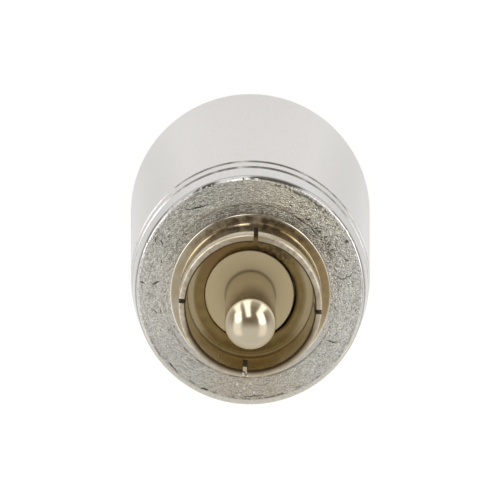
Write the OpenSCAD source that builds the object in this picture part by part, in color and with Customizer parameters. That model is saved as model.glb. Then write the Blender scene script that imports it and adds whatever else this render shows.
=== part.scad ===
// Adapter from an RCA plug to a three-pin XLR plug.
// The axis is Z. The XLR rim stands on z = 0 and the RCA contact points up.
// The keyed side of the XLR end, with its latch window, faces -Y.

/* [Barrel] */
// Length from the XLR rim to the cast front face
barrel_len = 44.2; // [42:0.1:60]
// Wall between the cup and the outside at the XLR rim
rim_wall = 1.4; // [1.2:0.05:2]
// Outside radius at the rear groove, where the long taper ends
taper_r = 8.08; // [7.7:0.02:9]
// Outside radius where the collar meets the front face, before rounding
nose_r = 7.62; // [7.2:0.02:8.2]
// Rounding of the front edge
nose_round = 0.3; // [0.2:0.02:0.7]
// Distance of the rear groove from the front face
rear_groove_back = 5.3; // [4.4:0.1:7]
// Distance of the front groove from the front face
front_groove_back = 3.25; // [1.5:0.05:3.5]
// Width of both turned grooves
groove_w = 0.76; // [0.3:0.02:0.9]
// Depth of both turned grooves
groove_depth = 0.25; // [0.08:0.01:0.35]
// Wall around the inner cavity at its front end
cavity_wall = 1.45; // [1:0.05:1.8]
// Thickness of the front wall that carries the RCA plug
front_wall = 3.2; // [2:0.1:4.5]
// Radius of the smooth spot face around the RCA plug
spot_r = 5.8; // [5.5:0.05:6.3]
// Depth of the spot face
spot_depth = 0.05; // [0.02:0.01:0.4]
// Chamfer at the XLR rim, outside and inside
rim_chamfer = 0.25; // [0.1:0.05:0.5]

/* [RCA plug] */
// Inside radius of the ground sleeve
sleeve_in_r = 4.15; // [4.05:0.01:4.25]
// Wall of the ground sleeve
sleeve_wall = 0.47; // [0.3:0.01:0.6]
// Free length of the sleeve in front of its flange
sleeve_len = 5.6; // [4.5:0.1:8]
// How far the front of the sleeve is turned down for a lead
sleeve_lead = 0.03; // [0.02:0.01:0.12]
// Length of that lead
sleeve_lead_len = 1.5; // [0.6:0.1:2]
// Chamfer on the sleeve's front edges
sleeve_edge = 0.1; // [0.02:0.01:0.15]
// Radius of the flange that sits on the spot face
flange_r = 5.28; // [5:0.02:5.45]
// Height of that flange
flange_h = 1.45; // [0.8:0.01:2.2]
// Height of the sleeve's inner floor above the flange
floor_rise = 0.3; // [0:0.05:1]
// Width of the dished border of that floor
dish_w = 0.42; // [0.2:0.02:0.8]
// Rise of that border to the sleeve's wall
dish_rise = 0.1; // [0.05:0.01:0.2]
// Radius of the sleeve's shank in the front wall
shank_r = 4.4; // [4.2:0.05:4.6]
// Width of the four spring slots
slot_w = 0.29; // [0.2:0.01:0.6]
// Depth of the slots from the sleeve's front
slot_depth = 4.2; // [2.5:0.1:4.6]
// Turn of the slot cross about the axis, in degrees
slot_turn = -4.6; // [-45:0.1:45]
// Radius of the centre contact
pin_r = 1.5875; // [1.5:0.0025:1.65]
// Reach of the centre contact past the sleeve
pin_reach = 8.8; // [7:0.1:10]
// Radius of the insulator's face
insulator_r = 2.91; // [2.6:0.01:3.1]
// Play around the insulator's face
insulator_gap = 0.08; // [0.07:0.01:0.2]
// How far the insulator's face sits off centre, towards -X
insulator_shift = 0.06; // [0:0.01:0.06]
// Radius of the insulator's rear flange
insulator_flange_r = 3.55; // [3.3:0.05:3.8]
// Length of the insulator's rear flange
insulator_flange_len = 2.6; // [1.5:0.1:3]
// Radius of the contact's tail, which ends in a solder cup
tail_r = 1.1; // [0.95:0.01:1.25]
// Length of the tail behind the insulator
tail_len = 3.4; // [2.8:0.1:5]
// Thickness of the solder tag
tag_t = 0.45; // [0.3:0.05:0.6]
// Outside radius of the solder tag
tag_r = 5.8; // [5.5:0.05:6]
// Width of the tag's bent tab
tag_tab_w = 2.2; // [1.6:0.1:3]
// Length of the tag's bent tab, from the front wall
tag_tab_len = 4.2; // [3:0.1:5]

/* [XLR plug] */
// Radius of the cup that takes the mating nose
cup_r = 8.1; // [8:0.02:8.2]
// Depth of the cup to the insert's face
cup_depth = 14; // [12:0.1:15]
// Radius of a contact pin
contact_r = 1.195; // [1.15:0.005:1.25]
// Distance of the pin tips inside the rim
contact_recess = 2; // [1:0.1:3.5]
// Distance between pins 1 and 2
contact_span = 7.62; // [7:0.01:8.2]
// Distance of pin 3 from the line through pins 1 and 2
contact_drop = 6.35; // [5.8:0.01:6.8]
// Thickness of the insert's front flange
insert_flange_t = 1.6; // [1:0.1:2.5]
// Width of the step in the barrel that the insert's flange seats on
seat_step = 1.1; // [0.8:0.05:1.3]
// Length of the insert's body behind its flange
insert_len = 5; // [4:0.1:6.5]
// Radius of a contact's shoulder inside the insert
shoulder_r = 1.65; // [1.5:0.05:1.9]
// Thickness of insert in front of a contact's shoulder
shoulder_back = 2.6; // [1.8:0.1:3.2]
// Outside radius of a solder cup
solder_cup_r = 1.4; // [1.3:0.05:1.5]
// Length of a solder cup behind the insert
solder_cup_len = 4.4; // [3.4:0.1:5]
// Bore of a solder cup
solder_cup_bore = 1; // [0.9:0.05:1.1]
// Width of the key rib in the cup
key_w = 2.2; // [1.6:0.1:3]
// Height of the key rib
key_h = 1; // [0.6:0.1:1.4]
// Length of the key rib in front of the insert
key_len = 5.6; // [3:0.1:6]
// Width of the latch window, across the barrel
window_w = 5; // [4:0.1:6]
// Height of the latch window, along the barrel
window_h = 3.6; // [2.5:0.1:4]
// Distance of the latch window from the rim
window_back = 3.2; // [2:0.1:4]
// Radius of the screw that holds the insert
screw_r = 1; // [0.75:0.05:1.25]
// How far that screw enters the insert
screw_bite = 1.2; // [0.8:0.1:1.8]

/* [Wiring] */
// Radius of a wire's bare core
core_r = 0.4; // [0.3:0.02:0.44]
// Radius of a wire's jacket
jacket_r = 0.75; // [0.6:0.05:0.9]
// Radius of the bare link between pins 1 and 3
link_r = 0.36; // [0.25:0.02:0.42]
// Length of bare core left between a joint and its jacket
strip_gap = 0.9; // [0.5:0.1:1.5]
// Straight length of a wire beside each joint
wire_lead = 1.6; // [1.2:0.1:2.5]

/* [Hidden] */
$fn = 96;
WIRE_FN = 32;
WIRE_SIDES = 12;
BEND_STEPS = 12;
LINK_STEPS = 6;

// Clearance of parts that seat in one another
fit = 0.02;
// Overlap that joins two shapes, and overshoot of a cut
eps = 0.02;
over = 1;

nickel = [0.80, 0.79, 0.76];
plated = [0.74, 0.71, 0.63];
ivory = [0.83, 0.78, 0.62];
black_nylon = [0.08, 0.08, 0.09];
silver_plate = [0.85, 0.84, 0.80];
tinned = [0.76, 0.76, 0.77];
solder_grey = [0.66, 0.67, 0.69];
jacket_red = [0.72, 0.10, 0.10];
jacket_black = [0.10, 0.10, 0.11];

// Radii that follow the cup
rim_r = cup_r + rim_wall;
insert_r = cup_r - seat_step;

// Heights along the barrel
rear_groove_z = barrel_len - rear_groove_back;
front_groove_z = barrel_len - front_groove_back;
wall_z = barrel_len - front_wall;
spot_z = barrel_len - spot_depth;
flange_z = spot_z + flange_h;
floor_z = flange_z + floor_rise;
sleeve_z = flange_z + sleeve_len;
pin_tip_z = sleeve_z + pin_reach;
seat_z = cup_depth + insert_flange_t;
insert_back_z = seat_z + insert_len;
cup_top_z = insert_back_z + solder_cup_len;

// Collar between the rear groove and the front face
collar_tilt = atan((taper_r - nose_r) / rear_groove_back);
nose_center_r = nose_r - nose_round * (1 - sin(collar_tilt)) / cos(collar_tilt);
function collar_r(z) = nose_r + (barrel_len - z) * tan(collar_tilt);
function taper_at(z) = rim_r + (taper_r - rim_r) * (z - rim_chamfer) / (rear_groove_z - rim_chamfer);

// Ground sleeve, swaged over the solder tag behind the front wall
sleeve_out_r = sleeve_in_r + sleeve_wall;
lip_t = 0.55;
lip_spread = 0.5;
tag_z = wall_z - tag_t;
lip_z = tag_z - lip_t;
stake_t = 0.3;
stake_h = 0.2;
insulator_back_z = lip_z + stake_t;
insulator_step_z = insulator_back_z + insulator_flange_len;

// Tail of the centre contact
rivet_t = 0.35;
rivet_spread = 0.3;
tail_z = insulator_back_z - tail_len;
tail_bore = 0.75;
tail_bore_len = 2.2;

// Contact places in the XLR end: pins 1 and 2 beside the key, pin 3 opposite it
contact_circle_r = (contact_span * contact_span / 4 + contact_drop * contact_drop) / (2 * contact_drop);
pin_1_at = [-contact_span / 2, contact_circle_r - contact_drop];
pin_2_at = [contact_span / 2, contact_circle_r - contact_drop];
pin_3_at = [0, contact_circle_r];
function turn_of(p) = atan2(p[1], p[0]);
contact_shoulder_z = cup_depth + shoulder_back;
land_step = 0.22;
land_r = contact_r + land_step;
cup_floor = 1;
cup_floor_z = insert_back_z + cup_floor;
scoop_len = 2.4;
scoop_share = 0.25;

// Wires: two conductors share the solder cup of pin 1, side by side
pair_gap = 0.04;
pair_shift = (core_r + link_r + pair_gap) / 2;
ground_in_cup_r = contact_circle_r + pair_shift;
link_in_cup_r = contact_circle_r - pair_shift;
core_end_gap = 0.15;
solder_rise = 0.3;
link_rise = 1.9;
link_bend_r = 1.4;
link_clear = 0.25;
tab_in_r = tag_r - tag_t;
core_on_tab_r = tab_in_r - core_r - fit;
tab_z = wall_z - tag_tab_len;
tab_core_len = 2.4;
tag_solder_len = 1.7;
tag_solder_spread = 0.75;

screw_z = seat_z + insert_len / 2;
screw_sink = 0.15;
screw_slot_w = 0.4;
screw_slot_depth = 0.5;
window_round = 0.5;
key_clear = 0.1;

// Path of a wire in its own X-Z plane: straight, then a smooth move along +X by shift, then straight
function wire_path(top, bend_top, bend_bottom, bottom, shift) = concat(
    [[0, top]],
    [for (i = [0 : BEND_STEPS])
        let (u = i / BEND_STEPS)
        [shift * (1 - cos(180 * u)) / 2, bend_top + (bend_bottom - bend_top) * u]],
    [[shift, bottom]]
);

// Ring of points around one place of a path, square to the wire there
function path_heading(path, i) =
    let (step = path[min(i + 1, len(path) - 1)] - path[max(i - 1, 0)]) step / norm(step);
function wire_ring(path, i, r) =
    let (heading = path_heading(path, i))
    [for (k = [0 : WIRE_SIDES - 1])
        let (a = 360 * k / WIRE_SIDES)
        [path[i][0] - heading[1] * r * cos(a), r * sin(a), path[i][1] + heading[0] * r * cos(a)]];
function wire_points(path, r) = [for (i = [0 : len(path) - 1]) each wire_ring(path, i, r)];

// Triangles between neighbouring rings, counted from a first point
function wall_faces(rings, first, outward) = [
    for (i = [0 : rings - 2], k = [0 : WIRE_SIDES - 1])
        let (
            n = (k + 1) % WIRE_SIDES,
            p = first + i * WIRE_SIDES,
            q = p + WIRE_SIDES,
            faces = [[p + k, p + n, q + k], [p + n, q + n, q + k]]
        )
        for (f = faces) outward ? f : [f[0], f[2], f[1]]
];

// Solid bar along a path
module wire_bar(path, r) {
    rings = len(path);
    last = (rings - 1) * WIRE_SIDES;
    polyhedron(
        points = wire_points(path, r),
        faces = concat(
            wall_faces(rings, 0, true),
            [[for (k = [WIRE_SIDES - 1 : -1 : 0]) k]],
            [[for (k = [0 : WIRE_SIDES - 1]) last + k]]
        )
    );
}

// Open tube along a path
module wire_tube(path, r, bore) {
    rings = len(path);
    inner = rings * WIRE_SIDES;
    last = inner - WIRE_SIDES;
    polyhedron(
        points = concat(wire_points(path, r), wire_points(path, bore)),
        faces = concat(
            wall_faces(rings, 0, true),
            wall_faces(rings, inner, false),
            [for (k = [0 : WIRE_SIDES - 1])
                let (n = (k + 1) % WIRE_SIDES)
                for (f = [[n, k, inner + k], [n, inner + k, inner + n]]) f],
            [for (k = [0 : WIRE_SIDES - 1])
                let (n = (k + 1) % WIRE_SIDES)
                for (f = [[last + k, last + n, last + inner + k],
                          [last + n, last + inner + n, last + inner + k]]) f]
        )
    );
}

// A flat rounded rectangle with true arcs at its corners
module rounded_rect(w, h, r) {
    square([w - 2 * r, h], center = true);
    square([w, h - 2 * r], center = true);
    for (x = [-1, 1], y = [-1, 1])
        translate([x * (w / 2 - r), y * (h / 2 - r)]) circle(r);
}

// Outside of the die-cast barrel: long taper, collar and rounded front edge
module barrel_outside() {
    rotate_extrude() {
        polygon([
            [0, 0],
            [rim_r - rim_chamfer, 0],
            [rim_r, rim_chamfer],
            [taper_r, rear_groove_z],
            [nose_center_r + nose_round * cos(collar_tilt),
             barrel_len - nose_round + nose_round * sin(collar_tilt)],
            [nose_center_r, barrel_len],
            [0, barrel_len]
        ]);
        translate([nose_center_r, barrel_len - nose_round]) circle(nose_round);
    }
}

// Groove cut into radius r by a round tool, to the set width and depth
module turned_groove(r, z) {
    tool_r = (groove_w * groove_w / 4 + groove_depth * groove_depth) / (2 * groove_depth);
    rotate_extrude() translate([r + tool_r - groove_depth, z]) circle(tool_r);
}

module barrel_bores() {
    insert_bore = insert_r + fit;
    translate([0, 0, -over]) cylinder(r = cup_r, h = seat_z + over);
    translate([0, 0, -eps]) cylinder(r1 = cup_r + rim_chamfer + eps, r2 = cup_r, h = rim_chamfer + eps);
    translate([0, 0, seat_z - eps]) cylinder(r = insert_bore, h = insert_len + 2 * eps);
    translate([0, 0, insert_back_z])
        cylinder(r1 = insert_bore, r2 = collar_r(wall_z) - cavity_wall, h = wall_z - insert_back_z);
    cylinder(r = shank_r + fit, h = barrel_len + over);
    translate([0, 0, spot_z]) cylinder(r = spot_r, h = spot_depth + over);
}

module latch_window() {
    translate([0, -cup_r + over, window_back + window_h / 2]) rotate([90, 0, 0])
        linear_extrude(rim_wall + 2 * over) rounded_rect(window_w, window_h, window_round);
}

module screw_hole() {
    translate([0, 0, screw_z]) rotate([90, 0, 0]) cylinder(r = screw_r + fit, h = rim_r + over);
}

// Key rib, rooted in the wall of the cup
module key_rib() {
    root = 0.3;
    translate([-key_w / 2, -cup_r - root, cup_depth - key_len])
        cube([key_w, key_h + root, key_len + insert_flange_t]);
}

module barrel() {
    color(nickel) {
        difference() {
            barrel_outside();
            barrel_bores();
            turned_groove(taper_r, rear_groove_z);
            turned_groove(collar_r(front_groove_z), front_groove_z);
            latch_window();
            screw_hole();
        }
        key_rib();
    }
}

// Turned ground sleeve: slotted tube, flange, shank and swaged lip
module rca_ground_sleeve() {
    neck_r = insulator_r + insulator_gap;
    rear_bore = insulator_flange_r + fit;
    lead_r = sleeve_out_r - sleeve_lead;
    slot_len = 2 * (sleeve_out_r + over);
    color(plated) difference() {
        rotate_extrude() polygon([
            [rear_bore - stake_h, lip_z],
            [shank_r + lip_spread, lip_z],
            [shank_r + lip_spread, tag_z],
            [shank_r, tag_z],
            [shank_r, spot_z],
            [flange_r, spot_z],
            [flange_r, flange_z - sleeve_edge],
            [flange_r - sleeve_edge, flange_z],
            [sleeve_out_r, flange_z],
            [sleeve_out_r, sleeve_z - sleeve_lead_len],
            [lead_r, sleeve_z - sleeve_edge],
            [lead_r - sleeve_edge, sleeve_z],
            [sleeve_in_r + sleeve_edge, sleeve_z],
            [sleeve_in_r, sleeve_z - sleeve_edge],
            [sleeve_in_r, floor_z + dish_rise],
            [sleeve_in_r - dish_w, floor_z],
            [neck_r, floor_z],
            [neck_r, insulator_step_z],
            [rear_bore, insulator_step_z],
            [rear_bore, insulator_back_z],
            [rear_bore - stake_h, insulator_back_z]
        ]);
        for (a = [0, 90])
            rotate(slot_turn + a) translate([-slot_len / 2, -slot_w / 2, sleeve_z - slot_depth])
                cube([slot_len, slot_w, slot_depth + over]);
    }
}

// Moulded insulator: its neck sits a little off centre in the sleeve's floor
module rca_insulator() {
    color(ivory) difference() {
        union() {
            translate([0, 0, insulator_back_z])
                cylinder(r = insulator_flange_r, h = insulator_step_z - insulator_back_z);
            translate([-insulator_shift, 0, insulator_step_z - eps])
                cylinder(r = insulator_r, h = floor_z - insulator_step_z + eps);
        }
        translate([0, 0, insulator_back_z - over])
            cylinder(r = tail_r + fit, h = floor_z - insulator_back_z + 2 * over);
    }
}

// Turned centre contact: round nose, shoulder on the insulator, riveted tail and solder cup
module rca_center_pin() {
    color(plated) difference() {
        union() {
            translate([0, 0, floor_z]) cylinder(r = pin_r, h = pin_tip_z - pin_r - floor_z);
            translate([0, 0, pin_tip_z - pin_r]) sphere(pin_r);
            translate([0, 0, tail_z]) cylinder(r = tail_r, h = floor_z - tail_z + eps);
            translate([0, 0, insulator_back_z - rivet_t]) cylinder(r = tail_r + rivet_spread, h = rivet_t);
        }
        translate([0, 0, tail_z - over]) cylinder(r = tail_bore, h = tail_bore_len + over);
    }
}

// Ring-shaped solder tag under the swaged lip, with one tab bent down
module ground_tag() {
    color(tinned) difference() {
        union() {
            translate([0, 0, tag_z]) cylinder(r = tag_r, h = tag_t);
            intersection() {
                cylinder(r = tag_r, h = wall_z);
                rotate(turn_of(pin_1_at)) translate([tab_in_r, -tag_tab_w / 2, tab_z])
                    cube([tag_r, tag_tab_w, tag_tab_len]);
            }
        }
        translate([0, 0, tag_z - over]) cylinder(r = shank_r + fit, h = tag_t + 2 * over);
    }
}

module at_contacts() for (p = [pin_1_at, pin_2_at, pin_3_at]) translate(p) children();

// Moulded insert, keyed by a notch and held by the side screw
module xlr_insert() {
    notch_w = key_w + 2 * key_clear;
    color(black_nylon) difference() {
        union() {
            translate([0, 0, cup_depth]) cylinder(r = cup_r - fit, h = insert_flange_t);
            translate([0, 0, seat_z - eps]) cylinder(r = insert_r, h = insert_len + eps);
        }
        translate([-notch_w / 2, -cup_r - over, cup_depth - over])
            cube([notch_w, key_h + key_clear + over, insert_flange_t + over]);
        at_contacts() {
            translate([0, 0, cup_depth - over]) cylinder(r = land_r + fit, h = shoulder_back + 2 * over);
            translate([0, 0, contact_shoulder_z])
                cylinder(r = shoulder_r + fit, h = insert_back_z - contact_shoulder_z + over);
        }
        translate([0, -insert_r + screw_bite, screw_z]) rotate([90, 0, 0])
            cylinder(r = screw_r + fit, h = screw_bite + over);
    }
}

// One turned contact: round tip, press land, shoulder, and a solder cup scooped on its outer side
module xlr_contact(place) {
    tip_z = contact_recess + contact_r;
    color(silver_plate) translate(place) rotate(turn_of(place)) difference() {
        union() {
            translate([0, 0, tip_z]) sphere(contact_r);
            translate([0, 0, tip_z]) cylinder(r = contact_r, h = cup_depth - tip_z + eps);
            translate([0, 0, cup_depth]) cylinder(r = land_r, h = shoulder_back + eps);
            translate([0, 0, contact_shoulder_z])
                cylinder(r = shoulder_r, h = insert_back_z - contact_shoulder_z);
            translate([0, 0, insert_back_z - eps]) cylinder(r = solder_cup_r, h = solder_cup_len + eps);
        }
        translate([0, 0, cup_floor_z]) cylinder(r = solder_cup_bore, h = solder_cup_len + over);
        translate([solder_cup_bore * scoop_share, -solder_cup_r - over, cup_top_z - scoop_len])
            cube([solder_cup_r + over, 2 * (solder_cup_r + over), scoop_len + over]);
    }
}

module xlr_pin_1() xlr_contact(pin_1_at);
module xlr_pin_2() xlr_contact(pin_2_at);
module xlr_pin_3() xlr_contact(pin_3_at);

// Slotted grub screw through the barrel into the insert
module insert_screw() {
    head_y = taper_at(screw_z) - screw_sink;
    foot_y = insert_r - screw_bite + fit;
    color(tinned) translate([0, -foot_y, screw_z]) rotate([90, 0, 0]) difference() {
        cylinder(r = screw_r, h = head_y - foot_y);
        translate([-screw_r - over, -screw_slot_w / 2, head_y - foot_y - screw_slot_depth])
            cube([2 * (screw_r + over), screw_slot_w, screw_slot_depth + over]);
    }
}

// Signal wire: from the centre contact's tail to the cup of pin 2
signal_bend = [tail_z - strip_gap - wire_lead, cup_top_z + strip_gap + wire_lead];
signal_bare = [tail_z + tail_bore_len - core_end_gap, cup_floor_z + core_end_gap];
signal_clad = [tail_z - strip_gap, cup_top_z + strip_gap];
function signal_path(ends) =
    wire_path(ends[0], signal_bend[0], signal_bend[1], ends[1], contact_circle_r);
module signal_place() rotate(turn_of(pin_2_at)) children();

module signal_wire_core() color(tinned) signal_place() wire_bar(signal_path(signal_bare), core_r);
module signal_wire_jacket() {
    color(jacket_red) signal_place() wire_tube(signal_path(signal_clad), jacket_r, core_r + fit);
}

// Ground wire: from the tag's tab to the cup of pin 1, with its jacket ending above the bare link
over_link_z = cup_top_z + link_rise + link_r + link_clear;
ground_bend = [tab_z - strip_gap - wire_lead, over_link_z + wire_lead];
ground_bare = [tab_z + tab_core_len, cup_floor_z + core_end_gap];
ground_clad = [tab_z - strip_gap, over_link_z];
function ground_path(ends) =
    wire_path(ends[0], ground_bend[0], ground_bend[1], ends[1], ground_in_cup_r - core_on_tab_r);
module ground_place() rotate(turn_of(pin_1_at)) translate([core_on_tab_r, 0, 0]) children();

module ground_wire_core() color(tinned) ground_place() wire_bar(ground_path(ground_bare), core_r);
module ground_wire_jacket() {
    color(jacket_black) ground_place() wire_tube(ground_path(ground_clad), jacket_r, core_r + fit);
}

ground_in_cup = ground_in_cup_r * pin_1_at / norm(pin_1_at);

// Bare link: an arch from the cup of pin 1 to the cup of pin 3
link_from = link_in_cup_r * pin_1_at / norm(pin_1_at);
link_step = pin_3_at - link_from;
link_span = norm(link_step);
link_bottom = cup_floor_z + core_end_gap;
link_shoulder = cup_top_z + link_rise - link_bend_r;
function link_corner(x, from, to) = [
    for (i = [0 : LINK_STEPS])
        let (a = from + (to - from) * i / LINK_STEPS)
        [x + link_bend_r * cos(a), link_shoulder + link_bend_r * sin(a)]
];
link_path = concat(
    [[0, link_bottom]],
    link_corner(link_bend_r, 180, 90),
    link_corner(link_span - link_bend_r, 90, 0),
    [[link_span, link_bottom]]
);
module pin_link() color(tinned) translate(link_from) rotate(turn_of(link_step)) wire_bar(link_path, link_r);

// Solder in a cup, with a shallow crown above its top and room for the wires in it
module cup_solder(place, wire_places, wire_r) {
    fill_r = solder_cup_bore - fit;
    color(solder_grey) difference() {
        translate(place) {
            translate([0, 0, cup_floor_z]) cylinder(r = fill_r, h = cup_top_z - cup_floor_z);
            translate([0, 0, cup_top_z - eps]) cylinder(r1 = fill_r, r2 = core_r + fit, h = solder_rise);
        }
        for (i = [0 : len(wire_places) - 1])
            translate([wire_places[i][0], wire_places[i][1], cup_floor_z + core_end_gap - fit])
                cylinder(r = wire_r[i] + fit, h = solder_cup_len + solder_rise, $fn = WIRE_FN);
    }
}

module pin_1_solder() cup_solder(pin_1_at, [ground_in_cup, link_from], [core_r, link_r]);
module pin_2_solder() cup_solder(pin_2_at, [pin_2_at], [core_r]);
module pin_3_solder() cup_solder(pin_3_at, [pin_3_at], [link_r]);

module rca_pin_solder() {
    fill_r = tail_bore - fit;
    color(solder_grey) difference() {
        union() {
            translate([0, 0, tail_z]) cylinder(r = fill_r, h = tail_bore_len - fit);
            translate([0, 0, tail_z - solder_rise])
                cylinder(r1 = core_r + 2 * fit, r2 = fill_r, h = solder_rise + eps);
        }
        translate([0, 0, tail_z - over])
            cylinder(r = core_r + fit, h = tail_bore_len - core_end_gap + fit + over, $fn = WIRE_FN);
    }
}

// Solder fillet along the tab, on both sides of the core
module tag_solder() {
    fillet_r = core_r + tag_solder_spread;
    color(solder_grey) rotate(turn_of(pin_1_at)) difference() {
        translate([tab_in_r - fit, 0, tab_z]) intersection() {
            union() {
                cylinder(r = fillet_r, h = tag_solder_len);
                translate([0, 0, tag_solder_len - eps]) cylinder(r1 = fillet_r, r2 = core_r, h = solder_rise);
            }
            translate([-2 * fillet_r, -fillet_r, 0])
                cube([2 * fillet_r, 2 * fillet_r, tag_solder_len + solder_rise]);
        }
        translate([core_on_tab_r, 0, tab_z - over])
            cylinder(r = core_r + fit, h = tab_core_len + 2 * over, $fn = WIRE_FN);
    }
}

barrel();
rca_ground_sleeve();
rca_insulator();
rca_center_pin();
ground_tag();
xlr_insert();
xlr_pin_1();
xlr_pin_2();
xlr_pin_3();
insert_screw();
signal_wire_core();
signal_wire_jacket();
ground_wire_core();
ground_wire_jacket();
pin_link();
rca_pin_solder();
tag_solder();
pin_1_solder();
pin_2_solder();
pin_3_solder();
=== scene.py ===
"""Looks for an adapter from an RCA plug to a three-pin XLR plug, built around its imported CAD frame.

Shapes are worked out in millimetres, with Z along the adapter and the XLR rim on z = 0.
"""

import contextlib
import math

import bmesh
import bpy
import numpy as np
from mathutils import Matrix, Vector


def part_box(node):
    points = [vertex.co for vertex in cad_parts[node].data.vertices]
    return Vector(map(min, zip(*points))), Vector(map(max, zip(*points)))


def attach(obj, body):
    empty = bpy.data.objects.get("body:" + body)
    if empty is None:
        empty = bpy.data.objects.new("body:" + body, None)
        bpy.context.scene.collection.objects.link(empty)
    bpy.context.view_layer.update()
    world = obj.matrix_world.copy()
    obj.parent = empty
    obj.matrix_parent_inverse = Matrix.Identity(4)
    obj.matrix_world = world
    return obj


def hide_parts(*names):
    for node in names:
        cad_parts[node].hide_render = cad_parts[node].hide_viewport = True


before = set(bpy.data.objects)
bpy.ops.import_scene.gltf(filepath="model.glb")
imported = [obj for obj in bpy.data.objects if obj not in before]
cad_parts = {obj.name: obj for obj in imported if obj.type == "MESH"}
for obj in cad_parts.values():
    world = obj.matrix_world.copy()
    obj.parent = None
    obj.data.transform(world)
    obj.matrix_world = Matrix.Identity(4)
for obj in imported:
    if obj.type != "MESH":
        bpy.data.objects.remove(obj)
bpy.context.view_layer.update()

MM = 0.001


def box_mm(node):
    """Lowest and highest corner of a CAD node, in millimetres."""
    low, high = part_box(node)
    return low / MM, high / MM


# Sizes read from the frame
barrel_high = box_mm("barrel")[1]
sleeve_low, sleeve_high = box_mm("rca_ground_sleeve")
insulator_low, insulator_high = box_mm("rca_insulator")
pin_low, pin_high = box_mm("rca_center_pin")
insert_low, insert_high = box_mm("xlr_insert")
screw_low, screw_high = box_mm("insert_screw")
tag_high = box_mm("ground_tag")[1]

RIM_R = barrel_high.x
BARREL_LEN = barrel_high.z
FLANGE_R = sleeve_high.x
SLEEVE_Z = sleeve_high.z
LIP_Z = sleeve_low.z
FLOOR_Z = insulator_high.z
INSULATOR_BACK_Z = insulator_low.z
INSULATOR_FLANGE_R = insulator_high.x
PIN_R = pin_high.x
PIN_TIP_Z = pin_high.z
TAIL_Z = pin_low.z
WALL_Z = tag_high.z
TAG_T = 0.45
TAG_Z = WALL_Z - TAG_T
INSERT_FACE_Z = insert_low.z
INSERT_BACK_Z = insert_high.z

# Barrel
FIT = 0.02
TAPER_R = 8.08
NOSE_R = 7.62
NOSE_ROUND = 0.30
REAR_GROOVE_Z = BARREL_LEN - 5.3
FRONT_GROOVE_Z = BARREL_LEN - 3.25
GROOVE_HALF = 0.38
GROOVE_DEPTH = 0.25
GROOVE_LIP = 0.02
GROOVE_CLEAR = 0.5
GROOVE_R = (GROOVE_HALF**2 + GROOVE_DEPTH**2) / (2 * GROOVE_DEPTH)
CAVITY_WALL = 1.45
SPOT_R = 5.8
SPOT_RUN = 0.06
SPOT_Z = BARREL_LEN - 0.05
RIM_CHAMFER = 0.25
CUP_R = insert_high.x + FIT
SEAT_Z = INSERT_FACE_Z + 1.6
INSERT_BORE_R = 7.0 + FIT
COLLAR_TILT = math.atan((TAPER_R - NOSE_R) / (BARREL_LEN - REAR_GROOVE_Z))
NOSE_CENTER_R = NOSE_R - NOSE_ROUND * (1 - math.sin(COLLAR_TILT)) / math.cos(COLLAR_TILT)
FRONT_Z = BARREL_LEN - NOSE_ROUND
FACE_IN_R = FLANGE_R - 0.1
TAPER_FOOT_Z = 1.0
COLLAR_TOP_Z = BARREL_LEN - 1.1
KEY_W = 2.2
KEY_H = 1.0
KEY_LEN = 5.6
KEY_ROOT = 0.3
KEY_ROUND = 0.15
WINDOW_W = 5.0
WINDOW_H = 3.6
WINDOW_BACK = 3.2
WINDOW_ROUND = 0.5
SCREW_R = screw_high.x
SCREW_HOLE_Y = -4.0
CUT_PAST = 1.0
SCREW_Z = (screw_low.z + screw_high.z) / 2

# RCA plug
SLEEVE_IN_R = 4.15
SLEEVE_OUT_R = SLEEVE_IN_R + 0.47
SLEEVE_LEAD = 0.03
SLEEVE_LEAD_LEN = 1.5
FLANGE_Z = SPOT_Z + 1.45
SHANK_R = 4.4
LIP_R = SHANK_R + 0.5
SLOT_W = 0.29
SLOT_DEPTH = 4.2
SLOT_ROUND = 0.02
SLOT_NEAR = 0.004
SLOT_TURN = math.radians(-4.6)
DISH_W = 0.42
DISH_TILT = math.radians(16)
NECK_R = 2.91
NECK_GAP = 0.08
NECK_SHIFT = 0.06
NECK_STEP_Z = INSULATOR_BACK_Z + 2.6
STAKE_H = 0.2
TAIL_R = 1.1
TAIL_BORE_R = 0.75
TAIL_BORE_LEN = 2.2
RIVET_R = TAIL_R + 0.3
RIVET_T = 0.35

# Mesh density: the cast face is fine, the rest of the barrel is coarse
FACE_SIDES = 1080
BARREL_SIDES = 270
SLEEVE_SIDES = 360
PIN_SIDES = 160
HOLE_SIDES = 32
STAGE_SIDES = 64
FACE_STEP = 0.036
BARREL_STEP = 3.0
COLLAR_STEP = 0.25


def collar_r(z):
    return NOSE_R + (BARREL_LEN - z) * math.tan(COLLAR_TILT)


def taper_r(z):
    share = (z - RIM_CHAMFER) / (REAR_GROOVE_Z - RIM_CHAMFER)
    return RIM_R + (TAPER_R - RIM_R) * share


# Profiles: lists of (radius, height)


def line(start, end, step):
    """Points from start to end, about one step apart, without the end itself."""
    length = math.dist(start, end)
    count = max(1, round(length / step))
    return [tuple(a + (b - a) * i / count for a, b in zip(start, end)) for i in range(count)]


def slope(surface, low, high, step):
    """Points up a surface that is given as its radius over z, without the highest one."""
    return line((surface(low), low), (surface(high), high), step)


def arc(center, radius, start_deg, end_deg, steps):
    """Points on an arc, both ends included. Zero degrees points outwards, ninety points up."""
    angles = np.radians(np.linspace(start_deg, end_deg, steps + 1))
    return [(center[0] + radius * math.cos(a), center[1] + radius * math.sin(a)) for a in angles]


def with_sides(points, sides):
    return [(r, z, sides) for r, z in points]


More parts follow.
